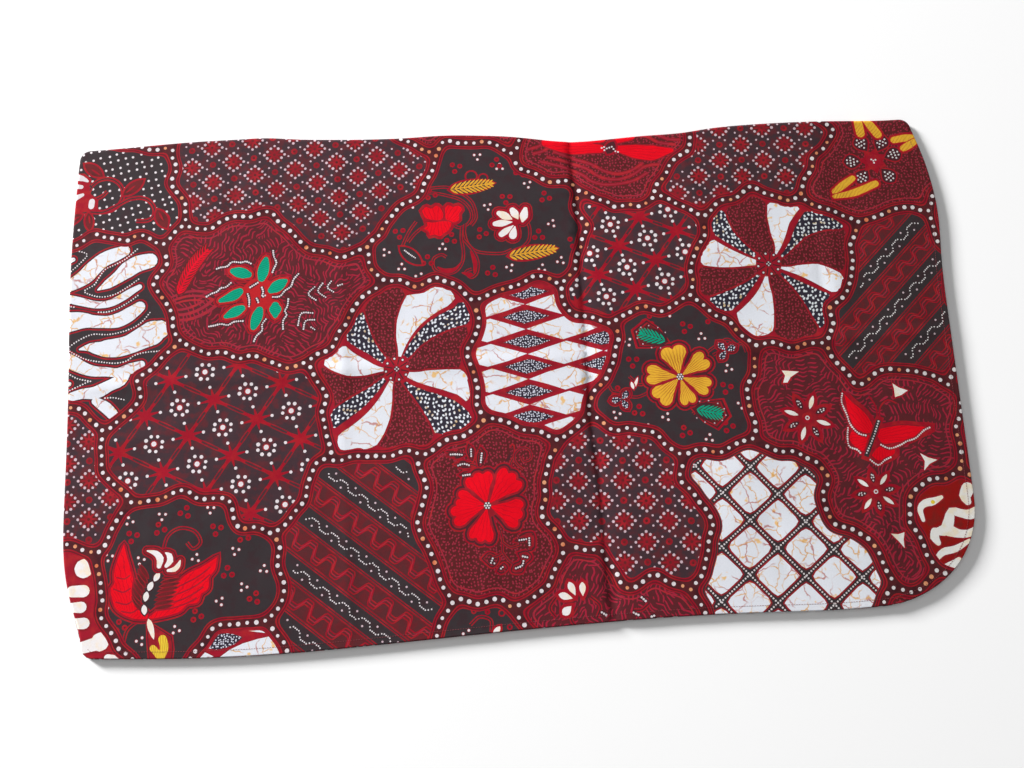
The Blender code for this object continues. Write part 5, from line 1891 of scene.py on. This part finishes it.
def shell(name, flat, triangles, border, lining, how, dye_names, dye_of, frames=None, underside="wrong_side"):
    """A thin closed shell: the printed side, the wrong side below it, and a strip that joins them."""
    lining_flat, lining_triangles, lining_border = lining
    outer, outer_normal = laid(flat / 1000, **how), facing(flat / 1000, **how)
    inner, inner_normal = laid(lining_flat / 1000, **how), facing(lining_flat / 1000, **how)
    inner = inner - inner_normal * CLOTH
    used = np.unique(triangles)
    renumber = np.full(len(flat), -1)
    renumber[used] = np.arange(len(used))
    inner_used = np.unique(lining_triangles)
    inner_renumber = np.full(len(lining_flat), -1)
    inner_renumber[inner_used] = np.arange(len(inner_used)) + len(used)
    strip = joined(renumber[border], inner_renumber[lining_border])
    faces = np.vstack([renumber[triangles], inner_renumber[lining_triangles][:, ::-1], strip])
    coords = np.vstack([outer[used], inner[inner_used]])
    coords[:, :2] -= centre
    low = coords[:, 2] < PRESSED  # what would sink into the floor is pressed flat on it
    coords[low, 2] = PRESSED * np.exp(coords[low, 2] / PRESSED - 1)
    mesh = triangle_mesh(name, coords, faces)
    slots = list(dict.fromkeys([*dye_names, underside]))
    for dye in slots:
        mesh.materials.append(DYES[dye])
    index = np.concatenate([
        np.array([slots.index(dye_names[d]) for d in range(len(dye_names))])[dye_of],
        np.full(len(faces) - len(triangles), slots.index(underside)),
    ]).astype(np.int32)
    mesh.polygons.foreach_set("material_index", index)
    plan = np.vstack([flat[used], lining_flat[inner_used]])
    for key, values in cloth_maps(plan[faces.ravel()], 3 * len(triangles), frames).items():
        layer = mesh.uv_layers.new(name=key)
        layer.data.foreach_set("uv", values.ravel().astype(np.float32))
    depth = mesh.attributes.new("island_depth", "FLOAT", "POINT")
    depth.data.foreach_set("value", depth_of_line(plan).astype(np.float32))
    mesh.update(calc_edges=True)
    mesh.polygons.foreach_set("use_smooth", np.ones(len(faces), bool))
    normals = np.vstack([outer_normal[used], -inner_normal[inner_used]])
    mesh.normals_split_custom_set_from_vertices(normals.tolist())
    mesh.validate(clean_customdata=False)
    made = bpy.data.objects.new(name, mesh)
    bpy.context.scene.collection.objects.link(made)
    return made


def depth_of_line(plan):
    """How deep points lie inside whichever island they are in."""
    deepest = np.full(len(plan), -99.0)
    for name in islands:
        deepest = np.maximum(deepest, depth_in(name, plan[:, 0], plan[:, 1]))
    return deepest


flat, triangles, top_stamp = cut_print()
border = border_of(triangles)
lining = lining_of(flat[border], [loop[::2] for loop in rim_loops[:-1:2]], 12.0, [crease_points(6.0)])
used_dyes = ["channel", *dict.fromkeys(dye for _, dye, *_ in stamps if dye)]
stamp_dye = np.array([used_dyes.index(dye) if dye else 0 for _, dye, *_ in stamps] + [0])
stamp_frame = np.array([own for *_, own, _ in stamps] + [(0.0, 0.0, 0.0, 1.0, 1.0)])
top = shell(
    "printed_top_ply", flat, triangles, border, lining, {},
    used_dyes, stamp_dye[top_stamp], stamp_frame[top_stamp],
)
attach(top, "root")
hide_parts("top_panel", "turned_hem")


# The three plies under the panel: the rest of the same cloth. The second turns into the top panel at the
# left, the third rolls into the fourth there, and each has the hem at the bottom and the right.
def patchwork_dye():
    """The same print farther on in the cloth: islands between dotted channels, with simpler motifs."""
    dye = Dye("patchwork")

    def to_line(place):
        """How far a place is from the line that parts two islands, and the island's own lot."""
        inputs = {"Vector": place, "Scale": 14.0, "Detail": 1.0}
        wave = dye.node("TexNoise", {"noise_dimensions": "2D"}, inputs)
        bend = dye.node("VectorMath", {"operation": "SCALE"}, {0: wave.outputs["Color"], "Scale": 0.045})
        bent = dye.node("VectorMath", {"operation": "ADD"}, {0: place, 1: bend.outputs[0]}).outputs[0]
        inputs = {"Vector": bent, "Scale": 6.2, "Randomness": 0.85}
        gap = dye.node("TexVoronoi", {"voronoi_dimensions": "2D", "feature": "DISTANCE_TO_EDGE"}, inputs)
        cell = dye.node("TexVoronoi", {"voronoi_dimensions": "2D"}, inputs)
        return Amount(dye, gap.outputs["Distance"]) / 6.2, cell.outputs["Color"]

    def dots(pitch, radius, uneven=0.25):
        """1 inside round dots, with their middles."""
        inputs = {"Vector": dye.cloth, "Scale": 1 / pitch, "Randomness": uneven}
        cells = dye.node("TexVoronoi", {"voronoi_dimensions": "2D"}, inputs)
        return 1 - (Amount(dye, cells.outputs["Distance"]) * pitch).between(radius * 0.9, radius * 1.1), cells

    gap, lot = to_line(dye.cloth)
    lots = dye.node("SeparateColor", {}, {0: lot})
    first, second = Amount(dye, lots.outputs[0]), Amount(dye, lots.outputs[1])
    small, _ = dots(0.0078, 0.0017, 0.5)
    stars, _ = dots(0.0230, 0.0048, 0.2)
    flowered = dye.blend(stars, dye.blend(small * 0.9, NEAR_BLACK, WAX), CRIMSON)
    seeded = dye.blend(dye.grains(0.0042, 0.0022, 0.0009), srgb(78, 46, 52), srgb(158, 40, 58))
    vein = abs(dye.noise(0.030, 2.0, 1.1) - 0.5).between(0.006, 0.016)
    white = dye.blend(vein, srgb(170, 100, 90), WAX)
    plain = dye.blend(second.between(0.45, 0.46), flowered, seeded)
    shown = dye.blend(first.between(0.72, 0.73), plain, white)
    shown = dye.blend(gap.between(0.0076, 0.0084), CRIMSON, shown)
    shown = dye.blend(gap.between(0.0038, 0.0046), srgb(72, 32, 36), shown)
    dotted, cells = dots(0.0088, 0.0026)
    middle_gap, _ = to_line(cells.outputs["Position"])
    return dye.finish(dye.blend(dotted * (1 - middle_gap.between(0.0030, 0.0034)), shown, WAX))


DYES["patchwork"] = patchwork_dye()


def further_in(x, y):
    """0 at the packet's sides, 1 a few centimetres in."""
    return smooth((np.minimum(WIDTH / 2 - np.abs(x), HEIGHT / 2 - np.abs(y)) - 0.008) / 0.030)


def second_height(x, y):
    """The height of the ply under the printed panel. The third and the fourth lie below it."""
    return top_height(x, y, 0.0) - 0.00165 - 0.0014 * further_in(x, y)


def third_height(x, y):
    """It takes on less than half of the panel's swells."""
    return 0.0031 + 0.45 * (top_height(x, y, 0.0) - STACK) - 0.0006 * further_in(x, y)


def fourth_height(x, y):
    """It lies flat on the floor, which the inner cloth comes nearest to."""
    return 0.0015 - 0.0009 * further_in(x, y)


HIDDEN_END = turned_over(0.0060, 0.0004, 0.0002, 90, 0.001)
HEM_LIP = turned_over(0.0072, 0.00078, 0.00072, 180, 0.010)
LOWER_ROLL = turned_over(0.0056, 0.0029, 0.00140, 150, 0.006)
UNDER_PLIES = [
    # sections at the left, the top and the hem, how far the cloth goes there, height, shift, peek
    ([HIDDEN_END, HIDDEN_END, HEM_LIP], (4.4, 4.4, 15.0), second_height, (0.0004, -0.0007), 0.0004),
    ([LOWER_ROLL, HIDDEN_END, HEM_LIP], (12.4, 4.2, 15.0), third_height, (-0.0005, -0.0003), 0.0008),
    ([HIDDEN_END, HIDDEN_END, HEM_LIP], (4.0, 4.0, 15.0), fourth_height, (0.0006, 0.0004), 0.0006),
]
under_pieces = []
for number, (sections, reach, height, shift, peek) in enumerate(UNDER_PLIES):
    rows = RIM_ROWS[::2] * (np.array(reach) / RIM_ROWS[-1])
    loops = [((ring + ring_out * (ring_kinds @ row)[:, None] / 1000) * 1000)[::2] for row in rows]
    sheet = lining_of(loops[-1], loops[:-1], 15.0)
    piece = shell(
        f"ply_{number + 2}", sheet[0], sheet[1], sheet[2], sheet, {"sections": sections, "height": height},
        ["patchwork"], np.zeros(len(sheet[1]), int), underside="patchwork",
    )
    coords = np.empty(len(piece.data.vertices) * 3)
    piece.data.vertices.foreach_get("co", coords)
    coords = coords.reshape(-1, 3)
    near = np.exp(-(((coords[:, 0] + 0.478) / 0.040) ** 2) - ((coords[:, 1] + 0.285) / 0.060) ** 2)
    coords[:, :2] += shift
    coords[:, 0] -= near * peek
    coords[:, 1] -= near * peek * 0.5
    piece.data.vertices.foreach_set("co", coords.ravel())
    for key, scale, place in (("cloth", 1.0, (1.07 * (number + 1), 0.61 * number)),
                              ("OFBake", 0.48, (0.0, 0.33 * number))):
        layer = piece.data.uv_layers[key]
        values = np.empty(len(layer.data) * 2)
        layer.data.foreach_get("uv", values)
        layer.data.foreach_set("uv", (values.reshape(-1, 2) * scale + place).ravel())
    under_pieces.append(piece)
with bpy.context.temp_override(active_object=under_pieces[0], selected_editable_objects=under_pieces):
    bpy.ops.object.join()
under = under_pieces[0]
under.name = under.data.name = "under_three_plies"
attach(under, "root")
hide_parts("under_plies")


# The seam of the hem along the bottom and the right: one small stitch of muted red thread after another,
# 7 mm in from the edge.
def stitch_tree():
    """Geometry Nodes that lay one rounded stitch on each place along a line."""
    tree = bpy.data.node_groups.new("seam_stitches", "GeometryNodeTree")
    named = {}
    for key, kind in (("Geometry", "Geometry"), ("Pitch", "Float"), ("Stitch length", "Float"),
                      ("Thread thickness", "Float"), ("Seed", "Int"), ("Thread", "Material")):
        made = tree.interface.new_socket(key, in_out="INPUT", socket_type=f"NodeSocket{kind}")
        named[key] = made.identifier
    tree.interface.new_socket("Geometry", in_out="OUTPUT", socket_type="NodeSocketGeometry")

    def node(kind, inputs, **settings):
        return add_node(tree, kind, settings, inputs)

    given = node("NodeGroupInput", {}).outputs
    line = node("GeometryNodeMeshToCurve", {"Mesh": given["Geometry"]}).outputs[0]
    inputs = {"Curve": line, "Length": given["Pitch"]}
    spots = node("GeometryNodeCurveToPoints", inputs, mode="LENGTH").outputs
    bead = node("GeometryNodeMeshUVSphere", {"Segments": 8, "Rings": 5, "Radius": 0.5}).outputs["Mesh"]
    thick = given["Thread thickness"]
    inputs = {"X": thick, "Y": thick, "Z": given["Stitch length"]}
    size = node("ShaderNodeCombineXYZ", inputs).outputs[0]
    inputs = {2: 0.88, 3: 1.08, "Seed": given["Seed"]}
    lot = node("FunctionNodeRandomValue", inputs, data_type="FLOAT").outputs[1]
    uneven = node("ShaderNodeVectorMath", {0: size, "Scale": lot}, operation="SCALE").outputs[0]
    inputs = {"Points": spots["Points"], "Instance": bead, "Rotation": spots["Rotation"], "Scale": uneven}
    placed = node("GeometryNodeInstanceOnPoints", inputs).outputs[0]
    whole = node("GeometryNodeRealizeInstances", {"Geometry": placed}).outputs[0]
    dyed = node("GeometryNodeSetMaterial", {"Geometry": whole, "Material": given["Thread"]}).outputs[0]
    node("NodeGroupOutput", {0: dyed})
    return tree, named


thread = Dye("hem_thread")
thread.cloth = thread.node("TexCoord").outputs["Object"]
hemmed = np.nonzero(ring_kinds[:, 2] > 0.97)[0]
seam = (ring + ring_out * 0.0010)[hemmed[0] : hemmed[-1] + 1]
seam_places = laid(seam) + facing(seam) * 0.00012
seam_places[:, :2] -= centre
seam_mesh = bpy.data.meshes.new("seam_line")
seam_mesh.from_pydata(seam_places.tolist(), [(k, k + 1) for k in range(len(seam) - 1)], [])
seam_line = bpy.data.objects.new("seam_line", seam_mesh)
bpy.context.scene.collection.objects.link(seam_line)
tree, named = stitch_tree()
sewing = seam_line.modifiers.new("sewing", "NODES")
sewing.node_group = tree
muted = thread.finish(thread.blend(thread.noise(0.004), srgb(148, 80, 86), srgb(128, 58, 64)))
for key, value in (("Pitch", 0.0028), ("Stitch length", 0.0021), ("Thread thickness", 0.00044),
                   ("Seed", 5), ("Thread", muted)):
    sewing[named[key]] = value
bpy.context.view_layer.update()
sewn = seam_line.evaluated_get(bpy.context.evaluated_depsgraph_get())
stitches = bpy.data.objects.new("hem_stitches", bpy.data.meshes.new_from_object(sewn))
bpy.context.scene.collection.objects.link(stitches)
seam_line.modifiers.remove(sewing)
bpy.data.objects.remove(seam_line)
stitches.data.name = "hem_stitches"
places = np.empty(len(stitches.data.vertices) * 3)
stitches.data.vertices.foreach_get("co", places)
corners = np.empty(len(stitches.data.loops), np.int32)
stitches.data.loops.foreach_get("vertex_index", corners)
bake = stitches.data.uv_layers.new(name="OFBake")
bake.data.foreach_set("uv", ((places.reshape(-1, 3)[corners, :2] + (0.53, 0.32)) / 1.06).ravel())
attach(stitches, "root")
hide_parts("turned_hem")


# The floor, a wide soft light overhead and a lower one from the upper left that brings out the creases,
# and the camera.
floor_mesh = bpy.data.meshes.new("floor")
floor_mesh.from_pydata([(-6, -6, 0), (6, -6, 0), (6, 6, 0), (-6, 6, 0)], [], [(0, 1, 2, 3)])
floor_paint = bpy.data.materials.new("floor_paint")
floor_paint.use_nodes = True
floor_shader = floor_paint.node_tree.nodes["Principled BSDF"]
floor_shader.inputs["Base Color"].default_value = (0.985, 0.985, 0.985, 1)
floor_shader.inputs["Roughness"].default_value = 0.9
floor_mesh.materials.append(floor_paint)
floor = bpy.data.objects.new("floor", floor_mesh)
bpy.context.scene.collection.objects.link(floor)


def lamp(name, place, aim, size, watts):
    """A soft light that looks at a place."""
    light = bpy.data.lights.new(name, "AREA")
    light.shape = "RECTANGLE"
    light.size, light.size_y = size
    light.energy = watts
    made = bpy.data.objects.new(name, light)
    made.location = place
    way = np.array(aim, float) - np.array(place, float)
    way /= np.linalg.norm(way)
    made.rotation_euler = (math.acos(-way[2]), 0, math.atan2(-way[0], way[1]))
    bpy.context.scene.collection.objects.link(made)


lamp("overhead", (-0.5, 0.4, 2.6), (0, 0, 0), (2.6, 2.0), 10)
lamp("upper_left", (-6.6, 5.0, 2.45), (0, 0, 0), (1.9, 1.9), 1860)
world = bpy.data.worlds.new("studio")
world.use_nodes = True
world.node_tree.nodes["Background"].inputs["Color"].default_value = (1, 1, 1, 1)
world.node_tree.nodes["Background"].inputs["Strength"].default_value = 0.24
bpy.context.scene.world = world
bpy.context.scene.view_settings.view_transform = "Standard"

ELEVATION, DISTANCE, ROLL = math.radians(77.68), 1.124, math.radians(-2.48)
lens = bpy.data.cameras.new("camera")
lens.lens = 35.0
lens.sensor_width = 36.0
lens.shift_y = -13.1 / 1024
lens.shift_x = 0.2 / 1024
camera = bpy.data.objects.new("camera", lens)
back = np.array([0, -math.cos(ELEVATION), math.sin(ELEVATION)])
camera.location = back * DISTANCE + (-centre[0], -centre[1], 0.0070)
turn = math.pi / 2 - ELEVATION
camera.matrix_world = (
    Matrix.Translation(camera.location)
    @ Matrix.Rotation(turn, 4, "X")
    @ Matrix.Rotation(ROLL, 4, "Z")
)
bpy.context.scene.collection.objects.link(camera)
bpy.context.scene.camera = camera
